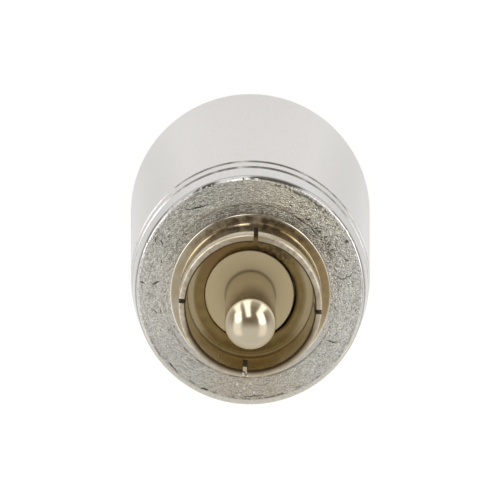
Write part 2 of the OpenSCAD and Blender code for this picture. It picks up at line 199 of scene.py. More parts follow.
def link_rings(first, second):
    """Faces between two rings, each given as (first vertex, count), where one count divides the other."""
    (a, na), (b, nb) = first, second
    if na > nb:
        return [face[::-1] for face in link_rings(second, first)]
    share = nb // na
    faces = []
    for i in range(na):
        fan = [b + (i * share + k) % nb for k in range(share + 1)]
        if na == 1:
            faces += [(a, fan[k], fan[k + 1]) for k in range(share)]
        else:
            faces.append((a + (i + 1) % na, a + i, *fan))
    return faces


def revolve(rings, closed):
    """Vertices in millimetres and faces of a body of revolution. A ring with one side is a pole."""
    points = []
    starts = []
    for r, z, sides in rings:
        starts.append((len(points), sides))
        turn = np.arange(sides) * 2 * math.pi / sides
        points += zip(r * np.cos(turn), r * np.sin(turn), [z] * sides)
    pairs = list(zip(starts, starts[1:]))
    if closed:
        pairs.append((starts[-1], starts[0]))
    faces = [face for first, second in pairs for face in link_rings(first, second)]
    return np.array(points), faces


# Noise and marks for cast metal, as heights in millimetres over x and y


def value_noise(x, y, cell, seed):
    """Smooth noise from -1 to 1, with one random value for each square cell."""
    size = 256
    table = np.random.default_rng(seed).uniform(-1, 1, (size, size))
    u = x / cell
    v = y / cell
    i = np.floor(u).astype(int)
    j = np.floor(v).astype(int)
    fu = u - i
    fv = v - j
    fu = fu * fu * (3 - 2 * fu)
    fv = fv * fv * (3 - 2 * fv)

    def at(di, dj):
        return table[(i + di) % size, (j + dj) % size]

    low = at(0, 0) * (1 - fu) + at(1, 0) * fu
    high = at(0, 1) * (1 - fu) + at(1, 1) * fu
    return low * (1 - fv) + high * fv


def smooth(value, start, end):
    """Zero at start, one at end, with a soft run between them."""
    t = np.clip((value - start) / (end - start), 0, 1)
    return t * t * (3 - 2 * t)


def bell(gap, width):
    """One where the gap is zero, fading to both sides."""
    return np.exp(-((gap / width) ** 2))


def clock(angle_deg, radius):
    """A point on the front face: the angle runs clockwise from +Y as the face is seen."""
    a = math.radians(angle_deg)
    return radius * math.sin(a), radius * math.cos(a)


def clock_of(x, y):
    """The clock angle of a place, from -180 to 180 degrees."""
    return np.degrees(np.arctan2(x, y))


def lobe(angle, place):
    """One around a clock angle, fading to zero. The place is (middle, where it ends, where it is full)."""
    middle, ends, full = place
    return smooth(abs(angle - middle), ends, full)


# Cracks in the cast skin: points as (clock angle, radius), width and depth
CRACKS = [
    ([(-37.9, 6.81), (-33.8, 6.63), (-30.4, 6.47), (-24.5, 6.34)], 0.042, 0.046),
    ([(78.3, 5.40), (80.3, 5.73), (82.1, 5.94), (82.3, 6.29), (81.2, 6.67), (79.3, 6.91), (81.4, 7.20)],
     0.028, 0.034),
    ([(80.6, 5.77), (82.1, 5.94), (82.3, 6.12)], 0.034, 0.030),
    ([(61.8, 7.04), (63.4, 7.20)], 0.075, 0.070),
    ([(70.9, 6.52), (72.9, 6.78)], 0.046, 0.045),
    ([(36.5, 6.00), (40.0, 6.16)], 0.046, 0.040),
    ([(30.0, 5.78), (37.5, 5.76)], 0.034, 0.034),
    ([(44.0, 5.76), (51.0, 5.79)], 0.034, 0.034),
    ([(123.7, 5.96), (120.3, 6.81)], 0.038, 0.036),
    ([(-62.0, 6.45), (-60.0, 6.85)], 0.044, 0.040),
    ([(-84.0, 6.00), (-86.0, 6.55)], 0.044, 0.040),
    ([(-86.0, 7.00), (-84.5, 7.30)], 0.045, 0.045),
    ([(-104.0, 6.30), (-100.0, 6.60)], 0.030, 0.030),
    ([(-157.5, 7.12), (-153.0, 7.28)], 0.045, 0.045),
    ([(-137.0, 7.20), (-131.0, 7.24)], 0.040, 0.040),
    ([(172.0, 7.05), (185.0, 7.12)], 0.034, 0.036),
]
CRACK_WANDER = 0.05
CUT_REACH = 0.8

# Random marks: how many, and the limits of each value in the order in which they are drawn
TICK_COUNT = 240
TICKS = {"angle": (-120, 120), "radius": (5.4, 7.2), "turn": (0.5, 3.5), "climb": (-0.14, 0.14),
         "width": (0.018, 0.030), "depth": (0.008, 0.024)}
HATCH_COUNT = 30
HATCHES = {"angle": (41, 64), "radius": (5.78, 5.98), "climb": (0.10, 0.28), "turn": (-1.5, 2.0),
           "width": (0.024, 0.034), "depth": (0.014, 0.030)}
NICK_COUNT = 46
NICKS = {"angle": (-70, 70), "radius": (7.28, 7.56), "spread": (0.03, 0.08), "stretch": (1.0, 3.5),
         "depth": (0.006, 0.026)}


def draw_marks(draws, count, limits):
    """Random marks, each with one value drawn between every pair of limits."""
    return [{name: draws.uniform(*pair) for name, pair in limits.items()} for _ in range(count)]


def furrow(x, y, points, width, depth):
    """A narrow furrow along a line of points, tapering to both ends."""
    spots = [clock(*p) for p in points]
    count = len(spots) - 1
    gap = np.full_like(x, 9.0)
    share = np.zeros_like(x)
    for i, ((ax, ay), (bx, by)) in enumerate(zip(spots, spots[1:])):
        length_2 = (bx - ax) ** 2 + (by - ay) ** 2
        t = np.clip(((x - ax) * (bx - ax) + (y - ay) * (by - ay)) / length_2, 0, 1)
        distance = np.hypot(x - ax - t * (bx - ax), y - ay - t * (by - ay))
        share = np.where(distance < gap, (i + t) / count, share)
        gap = np.minimum(gap, distance)
    taper = 0.4 + 0.6 * np.sin(math.pi * share)
    return -depth * taper * bell(gap, width * taper)


def crack_height(x, y):
    """Wandering cracks, short ticks mostly along the ring, and hatches across it at the upper right."""
    wander_x = x + CRACK_WANDER * value_noise(x, y, 0.22, seed=31)
    wander_y = y + CRACK_WANDER * value_noise(x, y, 0.22, seed=32)
    height = np.zeros_like(x)
    for points, width, depth in CRACKS:
        height += furrow(wander_x, wander_y, points, width, depth)
    draws = np.random.default_rng(5)
    for cut in draw_marks(draws, TICK_COUNT, TICKS) + draw_marks(draws, HATCH_COUNT, HATCHES):
        start = cut["angle"], cut["radius"]
        end = cut["angle"] + cut["turn"], cut["radius"] + cut["climb"]
        start_x, start_y = clock(*start)
        near = np.hypot(x - start_x, y - start_y) < CUT_REACH
        height[near] += furrow(wander_x[near], wander_y[near], [start, end], cut["width"], cut["depth"])
    return height


# Arcs of the face: clock angle of the middle, then degrees from it at which a mark ends and is full
SKIN_RIGHT = (35, 17, 8)
SKIN_LEFT = (-36, 14, 6)
# Painted shade in the corner of the spot face, at the upper right and at the bottom
SPOT_DIRT = (30, 36, 20)
SPOT_FOOT = (180, 80, 50)
SPOT_STEP = (12, 72, 50)
CHIPS_RIGHT = (28, 24, 16)
CHIPS_LEFT = (-20, 16, 8)
DULL_EDGE = (-21, 14, 10)
DULL_OUTER = (-8, 62, 46)
# Painted shade beside the upper side of the sleeve
GRIME = (8, 75, 20)
# Painted light on the face's left and right sides
PALE_SIDE = (92, 40, 15)
# Painted shade on the face's upper left and lower left
DEEP_LEFT = (-36, 52, 22)
DEEP_FOOT = (-130, 32, 12)
STAIN = (180, 42, 8)
# Painted shade in the grooves, strongest along the top
GROOVE_DIRT = (8, 62, 40)

# Clock angles to either side at which a mark starts and is full
LOWER_HALF = (95, 125)
BOTTOM = (135, 165)
DUST_HALF = (100, 70)

# How far the cast skin reaches over the edge's centre line: at its two upper arcs, lower half and bottom
SKIN_OVER_TOP, SKIN_OVER_LOW, SKIN_OVER_BOTTOM = 0.06, 0.03, -0.12

# Radii at which the painted shade around the sleeve ends and is full
GRIME_END_R, GRIME_FULL_R = 6.15, 5.45


def lower_half(x, y):
    """One on the lower half of the face, zero on the upper half."""
    return smooth(abs(clock_of(x, y)), *LOWER_HALF)


def cast_edge(x, y):
    """Radius at which the cast skin gives way to the polished rounding."""
    angle = clock_of(x, y)
    upper = 0.4 * lobe(angle, SKIN_RIGHT) + lobe(angle, SKIN_LEFT)
    over = SKIN_OVER_TOP * upper + SKIN_OVER_LOW * lower_half(x, y)
    return NOSE_CENTER_R + over + SKIN_OVER_BOTTOM * smooth(abs(angle), *BOTTOM)


def machined(x, y):
    """One on the lower part of the spot face, which the cutter left smooth."""
    return smooth(np.hypot(x, y), SPOT_R + 0.02, SPOT_R - 0.08) * lower_half(x, y)


# Sandy grain: cell and height of fine dashes, coarse dashes and slow waves, then the cell of its dust
FINE_CELL, FINE_RISE = 0.078, 0.010
COARSE_CELL, COARSE_RISE = 0.12, 0.007
WAVE_CELL, WAVE_RISE = 0.9, 0.006
DUST_CELL = 0.05
DASH_STRETCH = 1.8
DASH_LEAN = 0.35


def roughness_at(x, y):
    """How coarse the skin is: most at the upper right and upper left."""
    angle = clock_of(x, y)
    return 0.75 + 0.50 * bell(angle - 50, 35) + 0.38 * bell(angle + 45, 30)


def dashes(x, y, cell, seed):
    """Noise from -1 to 1 made of short dashes that lie across the face and lean here and there."""
    lean = DASH_LEAN * value_noise(x, y, 1.3, seed)
    return value_noise((x + lean * y) / DASH_STRETCH, y - lean * x, cell, seed + 1)


def grain(x, y):
    """Height of the sandy grain over a slow waviness, and its darkness from 0 to 1: painted shade in its
    pits, and dust.
    """
    fine = dashes(x, y, FINE_CELL, seed=41)
    coarse = dashes(x, y, COARSE_CELL, seed=51)
    rough = roughness_at(x, y)
    cut = machined(x, y)
    height = rough * (FINE_RISE * fine + COARSE_RISE * coarse)
    height += WAVE_RISE * value_noise(x, y, WAVE_CELL, seed=24)
    patches = smooth(value_noise(x, y, 0.5, seed=27), -0.5, 0.3)
    # Painted shade in the hollows of the fine and coarse dashes, in patches
    pits = np.maximum(smooth(-fine, 0.25, 0.7), smooth(-coarse, 0.35, 0.7)) * (0.35 + 0.65 * patches)
    upper = smooth(abs(clock_of(x, y)), *DUST_HALF)
    dust = 0.6 * upper * smooth(-dashes(x, y, DUST_CELL, seed=61), 0.15, 0.6)
    return height * (1 - 0.65 * cut), rough * (1 - 0.7 * cut) * np.maximum(pits, dust)


def spot_line(x, y):
    """Painted shade from 0 to 1 in the corner of the spot face, broken up along its way."""
    angle = clock_of(x, y)
    reach = 0.7 * lobe(angle, SPOT_DIRT) + 0.85 * lobe(abs(angle), SPOT_FOOT)
    near = bell(np.hypot(x, y) - SPOT_R, 0.055)
    return reach * near * smooth(value_noise(x, y, 0.3, seed=73), -0.6, 0.0)


def chips(x, y):
    """Dark chips from 0 to 1 along the inner side of the rounded edge."""
    angle = clock_of(x, y)
    r = np.hypot(x, y)
    gap = r - NOSE_CENTER_R + 0.09 - 0.08 * value_noise(x, y, 0.4, seed=75)
    upper = lobe(angle, CHIPS_RIGHT) + 0.12 * lobe(angle, CHIPS_LEFT)
    upper *= bell(gap, 0.10) * smooth(value_noise(x, y, 0.13, seed=76), -0.30, 0.10)
    along = np.radians(angle) * NOSE_CENTER_R
    gap = r - cast_edge(x, y) + 0.07 - 0.07 * value_noise(along, r, 1.1, seed=77)
    lower = 0.85 * lower_half(x, y) * bell(gap, 0.06)
    lower *= smooth(value_noise(along, r, 0.42, seed=78), -0.35, 0.1)
    lower *= smooth(value_noise(x, y, 0.09, seed=80), -0.9, -0.1)
    return np.maximum(upper, lower)


def edge_tarnish(x, y):
    """Dull grey from 0 to 1 on the upper rounded edge, with bright nicks left in it."""
    angle = clock_of(x, y)
    r = np.hypot(x, y)
    nicks = smooth(value_noise(x, y, 0.16, seed=79), 0.5, 0.2)
    dull = 0.5 * lobe(angle, DULL_EDGE) * nicks
    outer = 0.55 * lobe(angle, DULL_OUTER) * smooth(r, NOSE_R - 0.17, NOSE_R - 0.11)
    return np.maximum(dull, outer) * smooth(r, NOSE_CENTER_R - 0.05, NOSE_CENTER_R + 0.03)


def grime(x, y):
    """Painted shade from 0 to 1 against the upper side of the sleeve."""
    return smooth(np.hypot(x, y), GRIME_END_R, GRIME_FULL_R) * lobe(clock_of(x, y), GRIME)


# Bright raised specks on the face below the lower slot: clock angle, radius, height
SPECKS = [
    (188.0, 6.30, 0.05), (183.5, 6.55, 0.05), (180.0, 6.20, 0.04), (186.0, 6.95, 0.04), (178.0, 6.80, 0.05),
]
SPECK_SPREAD = 0.055


def speck_height(x, y):
    height = np.zeros_like(x)
    for angle, radius, rise in SPECKS:
        cx, cy = clock(angle, radius)
        height += rise * bell(np.hypot(x - cx, y - cy), SPECK_SPREAD)
    return height


def nick_height(x, y):
    """Small dents along the rounded front edge, and the specks."""
    height = speck_height(x, y)
    for nick in draw_marks(np.random.default_rng(7), NICK_COUNT, NICKS):
        radius = nick["radius"]
        spread = nick["spread"]
        cx, cy = clock(nick["angle"], radius)
        radial = ((x - cx) * cx + (y - cy) * cy) / radius
        around = ((x - cx) * cy - (y - cy) * cx) / radius
        height -= nick["depth"] * bell(radial, spread) * bell(around, spread * nick["stretch"])
    return height


def skin(x, y):
    """Height of the cast skin over the plain face, and how dark it is, from 0 to 1."""
    r = np.hypot(x, y)
    flat = smooth(r - cast_edge(x, y), 0.12, -0.02)
    cracks = crack_height(x, y)
    sand, pits = grain(x, y)
    spot = smooth(r, SPOT_R + SPOT_RUN, SPOT_R - SPOT_RUN)
    filled = 0.85 * (1 - lobe(clock_of(x, y), SPOT_STEP))
    height = flat * (sand + cracks) + nick_height(x, y) + (BARREL_LEN - SPOT_Z) * spot * filled
    # Painted shade on the face beside the upper side of the sleeve
    dirt = 0.84 * grime(x, y) * (0.6 + 0.4 * value_noise(x, y, 0.2, seed=71))
    # Painted shade in the furrows of the cracks, ticks and hatches
    split = smooth(cracks, -0.003, -0.014)
    # The darkness: painted shade in furrows, pits, the spot face's corner and beside the sleeve, with dust
    # and dark chips
    dark = np.maximum.reduce([split, 0.45 * pits, dirt, 0.8 * spot_line(x, y), 0.95 * chips(x, y)])
    return height, np.maximum(flat * dark, edge_tarnish(x, y))


# Making objects


def add_object(name, data):
    piece = bpy.data.objects.new(name, data)
    bpy.context.scene.collection.objects.link(piece)
    return piece


@contextlib.contextmanager
def edit_mesh(piece):
    """The mesh of a piece, open for changes that are written back at the end."""
    work = bmesh.new()
    work.from_mesh(piece.data)
    yield work
    work.to_mesh(piece.data)
    work.free()


def make_object(name, points_mm, faces):
    """A piece from points and faces, with its faces turned outwards."""
    mesh = bpy.data.meshes.new(name)
    mesh.from_pydata((np.asarray(points_mm) * MM).tolist(), [], faces)
    piece = add_object(name, mesh)
    with edit_mesh(piece) as work:
        bmesh.ops.recalc_face_normals(work, faces=work.faces)
    return piece


def apply_modifiers(piece):
    """Replace the mesh of a piece by the result of its modifiers."""
    evaluated = piece.evaluated_get(bpy.context.evaluated_depsgraph_get())
    mesh = bpy.data.meshes.new_from_object(evaluated)
    piece.modifiers.clear()
    piece.data = mesh


def combine(piece, other, operation):
    """Boolean with another object, which is then removed."""
    change = piece.modifiers.new("combine", "BOOLEAN")
    change.operation = operation
    change.solver = "EXACT"
    change.object = other
    apply_modifiers(piece)
    bpy.data.objects.remove(other)


def bevel(piece, width_mm, angle_deg):
    change = piece.modifiers.new("bevel", "BEVEL")
    change.width = width_mm * MM
    change.segments = 2
    change.limit_method = "ANGLE"
    change.angle_limit = math.radians(angle_deg)
    change.use_clamp_overlap = True
    apply_modifiers(piece)


def shade(piece, sharp_deg, keep_smooth=None):
    """Smooth shading with sharp edges above an angle, apart from places that keep_smooth accepts."""
    limit = math.radians(sharp_deg)
    with edit_mesh(piece) as work:
        for face in work.faces:
            face.smooth = True
        for edge in work.edges:
            edge.smooth = edge.calc_face_angle(0) < limit
            if not edge.smooth and keep_smooth:
                middle = (edge.verts[0].co + edge.verts[1].co) / (2 * MM)
                edge.smooth = bool(keep_smooth(*middle))


def points_of(piece):
    points = np.zeros(len(piece.data.vertices) * 3)
    piece.data.vertices.foreach_get("co", points)
    return points.reshape(-1, 3) / MM


def mark(piece, **marks):
    """Store one number for each vertex under each name, by which a material reads it."""
    for name, values in marks.items():
        attribute = piece.data.attributes.new(name, "FLOAT", "POINT")
        attribute.data.foreach_set("value", np.asarray(values, dtype=np.float32))


def prism(name, foot, top, low, high, move):
    """A block between two outlines of as many points each, moved into place."""
    count = len(foot)
    points = [(x, y, low) for x, y in foot] + [(x, y, high) for x, y in top]
    sides = [(i, (i + 1) % count, count + (i + 1) % count, count + i) for i in range(count)]
    piece = make_object(name, points, sides + [tuple(range(count)), tuple(range(count, 2 * count))])
    piece.data.transform(move)
    return piece


def rounded_box(name, size, corner, place, turn):
    """A box with four rounded corners in its own x and y, of the given depth, moved into place."""
    half_w, half_h, depth = size[0] / 2, size[1] / 2, size[2]
    outline = []
    for quarter, (sx, sy) in enumerate([(1, 1), (-1, 1), (-1, -1), (1, -1)]):
        center = (sx * (half_w - corner), sy * (half_h - corner))
        outline += arc(center, corner, 90 * quarter, 90 * quarter + 90, 6)
    return prism(name, outline, outline, 0, depth, Matrix.Translation(Vector(place) * MM) @ turn)


def finish_piece(piece, node, material):
    """Ride on the one body, hide the CAD node in its place and take a material."""
    piece.data.materials.clear()
    piece.data.materials.append(material)
    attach(piece, "root")
    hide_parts(node)


def second_material(piece, material, covers):
    """Another material for the faces whose middle, in millimetres, a test accepts."""
    piece.data.materials.append(material)
    for face in piece.data.polygons:
        face.material_index = int(covers(face.center / MM))


JOIN_MM = 0.0005
FLAT_ANGLE = math.radians(0.5)


def bevelled_copy(name, node, width_mm, material):
    """A separate copy of a CAD node's mesh, with its doubled points joined and its edges bevelled."""
    piece = add_object(name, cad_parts[node].data.copy())
    with edit_mesh(piece) as work:
        bmesh.ops.remove_doubles(work, verts=work.verts, dist=JOIN_MM * MM)
        bmesh.ops.dissolve_limit(work, angle_limit=FLAT_ANGLE, verts=work.verts, edges=work.edges)
    bevel(piece, width_mm, 40)
    shade(piece, 35)
    finish_piece(piece, node, material)


# Barrel: cast body with a textured front face


def face_z(r):
    """Height of the front face: it steps down softly to the spot face around the sleeve."""
    return SPOT_Z + (BARREL_LEN - SPOT_Z) * float(smooth(r, SPOT_R - SPOT_RUN, SPOT_R + SPOT_RUN))


def barrel_rings():
    """The barrel's closed section, from the rim up the outside, over the face and back down the bores."""
    sweep = 180 - math.degrees(math.asin(GROOVE_HALF / GROOVE_R))

    def groove(behind, z):
        """Section of a groove whose lips lie on the surface behind it and on the collar ahead of it."""
        rear_r, front_r = behind(z - GROOVE_HALF), collar_r(z + GROOVE_HALF)
        rear_z, front_z = z - GROOVE_HALF - GROOVE_LIP, z + GROOVE_HALF + GROOVE_LIP
        points = [(behind(rear_z), rear_z)]
        for depth, ahead in arc((GROOVE_R - GROOVE_DEPTH, 0), GROOVE_R, 360 - sweep, sweep, 10):
            share = (ahead / GROOVE_HALF + 1) / 2
            points.append((rear_r + (front_r - rear_r) * share + depth, z + ahead))
        return points + [(collar_r(front_z), front_z)]

    outside = (
        arc((RIM_R - RIM_CHAMFER, RIM_CHAMFER), RIM_CHAMFER, -90, 0, 6)
        + slope(taper_r, TAPER_FOOT_Z, REAR_GROOVE_Z - GROOVE_CLEAR, BARREL_STEP)
        + groove(taper_r, REAR_GROOVE_Z)
        + slope(collar_r, REAR_GROOVE_Z + GROOVE_CLEAR, FRONT_GROOVE_Z - GROOVE_CLEAR, BARREL_STEP)
        + groove(collar_r, FRONT_GROOVE_Z)
        + slope(collar_r, FRONT_GROOVE_Z + GROOVE_CLEAR, COLLAR_TOP_Z, BARREL_STEP)
        + [(collar_r(COLLAR_TOP_Z), COLLAR_TOP_Z)]
    )
    edge_steps = round(NOSE_ROUND * math.pi / 2 / FACE_STEP)
    face = (
        slope(collar_r, BARREL_LEN - 0.9, BARREL_LEN - 0.4, COLLAR_STEP)
        + arc((NOSE_CENTER_R, FRONT_Z), NOSE_ROUND, math.degrees(COLLAR_TILT), 90, edge_steps)
        + [(r, face_z(r)) for r, _ in line((NOSE_CENTER_R - FACE_STEP, 0), (FACE_IN_R, 0), FACE_STEP)]
    )
    cavity_r = collar_r(WALL_Z) - CAVITY_WALL
    inside = (
        [(FLANGE_R - 0.2, SPOT_Z), (SHANK_R + FIT, SPOT_Z), (SHANK_R + FIT, WALL_Z), (cavity_r, WALL_Z)]
        + [(INSERT_BORE_R, INSERT_BACK_Z), (INSERT_BORE_R, SEAT_Z)]
        + line((CUP_R, SEAT_Z), (CUP_R, RIM_CHAMFER), BARREL_STEP)
        + arc((CUP_R + RIM_CHAMFER, RIM_CHAMFER), RIM_CHAMFER, 180, 270, 6)
    )
    sections = ((outside, BARREL_SIDES), (face, FACE_SIDES), (inside, BARREL_SIDES))
    return [ring for points, sides in sections for ring in with_sides(points, sides)]


def on_front(x, y, z):
    """On the cast face or its rounded edge, clear of the sleeve's flange."""
    return (z > FRONT_Z) & (np.hypot(x, y) > FACE_IN_R)


def raise_skin(points):
    """Move the points of the front face out by the height of its skin."""
    x, y, z = points.T
    r = np.hypot(x, y)
    front = on_front(x, y, z)
    height = np.zeros_like(x)
    height[front] = skin(x[front], y[front])[0]
    lean = np.clip((r - NOSE_CENTER_R) / NOSE_ROUND, 0, 1)
    aside = height * lean / np.where(front, r, 1)
    return points + np.column_stack([aside * x, aside * y, height * np.sqrt(1 - lean * lean)])


def mark_barrel(barrel):
    """Where the barrel is cast, dark, pale or stained, with painted shade in its hollows, grooves and on its
    left, and painted light on its sides and lower edge.
    """
    x, y, z = points_of(barrel).T
    r = np.hypot(x, y)
    angle = clock_of(x, y)
    outside = r > SPOT_R + 1
    front = on_front(x, y, z)
    dark = np.zeros_like(x)
    dark[front] = skin(x[front], y[front])[1]
    cast = (z > FRONT_Z) * smooth(r - cast_edge(x, y), 0.11, 0.0)
    cut = machined(x, y)
    specks = smooth(speck_height(x, y), 0.008, 0.02)
    # Pale: painted light on the face's sides, plus the smoother machined spot face and the bright specks
    pale = np.maximum.reduce([0.4 * lobe(abs(angle), PALE_SIDE), 0.3 * cut, 1.5 * specks])
    # Painted shade on the face's upper left and lower left
    deep = np.maximum(lobe(angle, DEEP_LEFT), 0.5 * lobe(angle, DEEP_FOOT))
    in_groove = np.minimum(abs(z - REAR_GROOVE_Z), abs(z - FRONT_GROOVE_Z)) < GROOVE_HALF + 0.01
    broken = 0.7 + 0.3 * value_noise(angle, z, 2.5, seed=83)
    mark(
        barrel,
        cast=cast,
        dark=dark,
        coarse=cast * roughness_at(x, y) * (1 - 0.6 * cut),
        pale=cast * pale,
        deep=cast * deep,
        collar=outside * smooth(z, REAR_GROOVE_Z + 0.3, REAR_GROOVE_Z + 0.5),
        # Painted reflection: the polished edge is warmer and lighter on its lower half
        warm=(z > FRONT_Z - 0.1) * (r > SPOT_R + 0.5) * lower_half(x, y),
        # Yellower towards the top of the face
        yellowed=cast * smooth(y, 2.0, 6.5),
        stain=cast * lobe(abs(angle), STAIN),
        # Painted shade in the grooves, broken up, strongest along the top
        groove=outside * in_groove * (0.18 + 0.70 * lobe(angle, GROOVE_DIRT)) * broken,
    )


def make_barrel(material):
    points, faces = revolve(barrel_rings(), closed=True)
    barrel = make_object("barrel_shell", raise_skin(points), faces)
    face_minus_y = Matrix.Rotation(math.radians(90), 4, "X")
    window_size = (WINDOW_W, WINDOW_H, RIM_R - CUP_R + 2 * CUT_PAST)
    window_place = (0, CUT_PAST - CUP_R, WINDOW_BACK + WINDOW_H / 2)
    window = rounded_box("window_cut", window_size, WINDOW_ROUND, window_place, face_minus_y)
    combine(barrel, window, "DIFFERENCE")
    bore = SCREW_R + FIT
    hole_rings = [(0, 0, 1), (bore, 0, HOLE_SIDES), (bore, RIM_R, HOLE_SIDES), (0, RIM_R, 1)]
    hole = make_object("screw_cut", *revolve(hole_rings, closed=False))
    hole.data.transform(Matrix.Translation(Vector((0, SCREW_HOLE_Y, SCREW_Z)) * MM) @ face_minus_y)
    combine(barrel, hole, "DIFFERENCE")
    rib_size = (KEY_W, KEY_H + KEY_ROOT, KEY_LEN + SEAT_Z - INSERT_FACE_Z)
    rib_place = (0, -CUP_R + (KEY_H - KEY_ROOT) / 2, INSERT_FACE_Z - KEY_LEN)
    combine(barrel, rounded_box("key_rib", rib_size, KEY_ROUND, rib_place, Matrix.Identity(4)), "UNION")
    mark_barrel(barrel)
    shade(barrel, 35, on_front)
    finish_piece(barrel, "barrel", material)


# RCA plug: slotted sleeve, insulator and contact


def sleeve_rings():
    """The sleeve's closed section, from the swaged lip up the outside and back down the bores."""
    rear_bore = INSULATOR_FLANGE_R + FIT
    neck_bore = NECK_R + NECK_GAP
    lead_r = SLEEVE_OUT_R - SLEEVE_LEAD
    outer_edge = 0.12
    inner_edge = 0.10
    flange_edge = 0.08
    root = 0.07
    bore_edge = 0.05
    dish_r = DISH_W / math.sin(DISH_TILT)
    dish = (SLEEVE_IN_R - DISH_W, FLOOR_Z + dish_r)
    profile = (
        [(rear_bore - STAKE_H, LIP_Z), (LIP_R, LIP_Z), (LIP_R, TAG_Z), (SHANK_R, TAG_Z), (SHANK_R, SPOT_Z)]
        + [(FLANGE_R, SPOT_Z), (FLANGE_R, FLANGE_Z - 0.25)]
        + arc((FLANGE_R - flange_edge, FLANGE_Z - flange_edge), flange_edge, 0, 90, 5)
        + line((FLANGE_R - 2 * flange_edge, FLANGE_Z), (SLEEVE_OUT_R + 2 * root, FLANGE_Z), 0.08)
        + arc((SLEEVE_OUT_R + root, FLANGE_Z + root), root, 270, 180, 5)
        + [(SLEEVE_OUT_R, FLANGE_Z + 0.18)]
        + line((SLEEVE_OUT_R, FLANGE_Z + 0.3), (SLEEVE_OUT_R, SLEEVE_Z - SLEEVE_LEAD_LEN), 0.5)
        + [(SLEEVE_OUT_R, SLEEVE_Z - SLEEVE_LEAD_LEN), (lead_r, SLEEVE_Z - SLEEVE_LEAD_LEN + 0.06)]
        + arc((lead_r - outer_edge, SLEEVE_Z - outer_edge), outer_edge, 0, 90, 8)
        + arc((SLEEVE_IN_R + inner_edge, SLEEVE_Z - inner_edge), inner_edge, 90, 180, 8)
        + line((SLEEVE_IN_R, SLEEVE_Z - 0.2), (SLEEVE_IN_R, SLEEVE_Z - 0.6), 0.1)
        + line((SLEEVE_IN_R, SLEEVE_Z - 0.6), (SLEEVE_IN_R, FLOOR_Z + 0.3), 0.6)
        + line((SLEEVE_IN_R, FLOOR_Z + 0.3), (SLEEVE_IN_R, FLOOR_Z + 0.12), 0.04)
        + arc(dish, dish_r, math.degrees(DISH_TILT) - 90, -90, 14)
        + line((SLEEVE_IN_R - DISH_W - 0.1, FLOOR_Z), (neck_bore + bore_edge, FLOOR_Z), 0.2)
        + arc((neck_bore + bore_edge, FLOOR_Z - bore_edge), bore_edge, 90, 180, 3)
        + [(neck_bore, NECK_STEP_Z), (rear_bore, NECK_STEP_Z), (rear_bore, INSULATOR_BACK_Z)]
        + [(rear_bore - STAKE_H, INSULATOR_BACK_Z)]
    )
    return with_sides(profile, SLEEVE_SIDES)


def in_slot(center):
    """Is this point, in millimetres, on the wall of a spring slot?"""
    turned = Matrix.Rotation(-SLOT_TURN, 3, "Z") @ center
    aside = min(abs(turned.x), abs(turned.y)) - SLOT_W / 2
    on_burr = aside < -SLOT_NEAR and center.z > SLEEVE_Z - 0.2
    return center.z > SLEEVE_Z - SLOT_DEPTH - 0.01 and aside < SLOT_NEAR and not on_burr


# Burrs at the lower slot's mouth, before its turn: outlines of foot and top, their heights over the edge
BURRS = [
    ([(-0.24, -4.21), (0.04, -4.25), (0.05, -4.54), (-0.22, -4.52)],
     [(-0.17, -4.27), (-0.03, -4.29), (-0.01, -4.47), (-0.14, -4.44)], -0.15, 0.07),
    ([(0.06, -4.36), (0.27, -4.39), (0.24, -4.58), (0.08, -4.56)],
     [(0.11, -4.40), (0.22, -4.42), (0.20, -4.52), (0.13, -4.51)], -0.08, 0.06),
]

# Arcs of the sleeve, given like those of the face
TIP_DULL = (-2, 28, 10)
# Where the painted highlights on the flange's edge fade, and where those on the root lie
EDGE_TOP = (-8, 34, 16)
EDGE_RIGHT = (92, 45, 22)
ROOT_SIDE = (54, 24, 14)
ROOT_TOP = (-5, 6, 3)
# Painted shade in the gap around the insulator
BORE_RIM = (102, 46, 30)
FLANGE_DIRT = (68, 56, 30)
FLANGE_BROWN = (64, 58, 34)
WALL_RIGHT = (44, 36, 20)
LEFT_DIRT = (-50, 36, 20)
LEFT_BROWN = (-48, 40, 24)
FLUX = (28, 38, 14)
RUST = (-38, 34, 16)
# Painted sheen on the floor's left and right and on the inner wall's lower sides
FLOOR_RUB = (94, 48, 20)
WALL_RUB = (112, 60, 30)

# Radii at which the painted sheen on the border of the sleeve's floor starts and is full
FLOOR_RUB_R, FLOOR_RUB_FULL_R = 3.62, 3.82


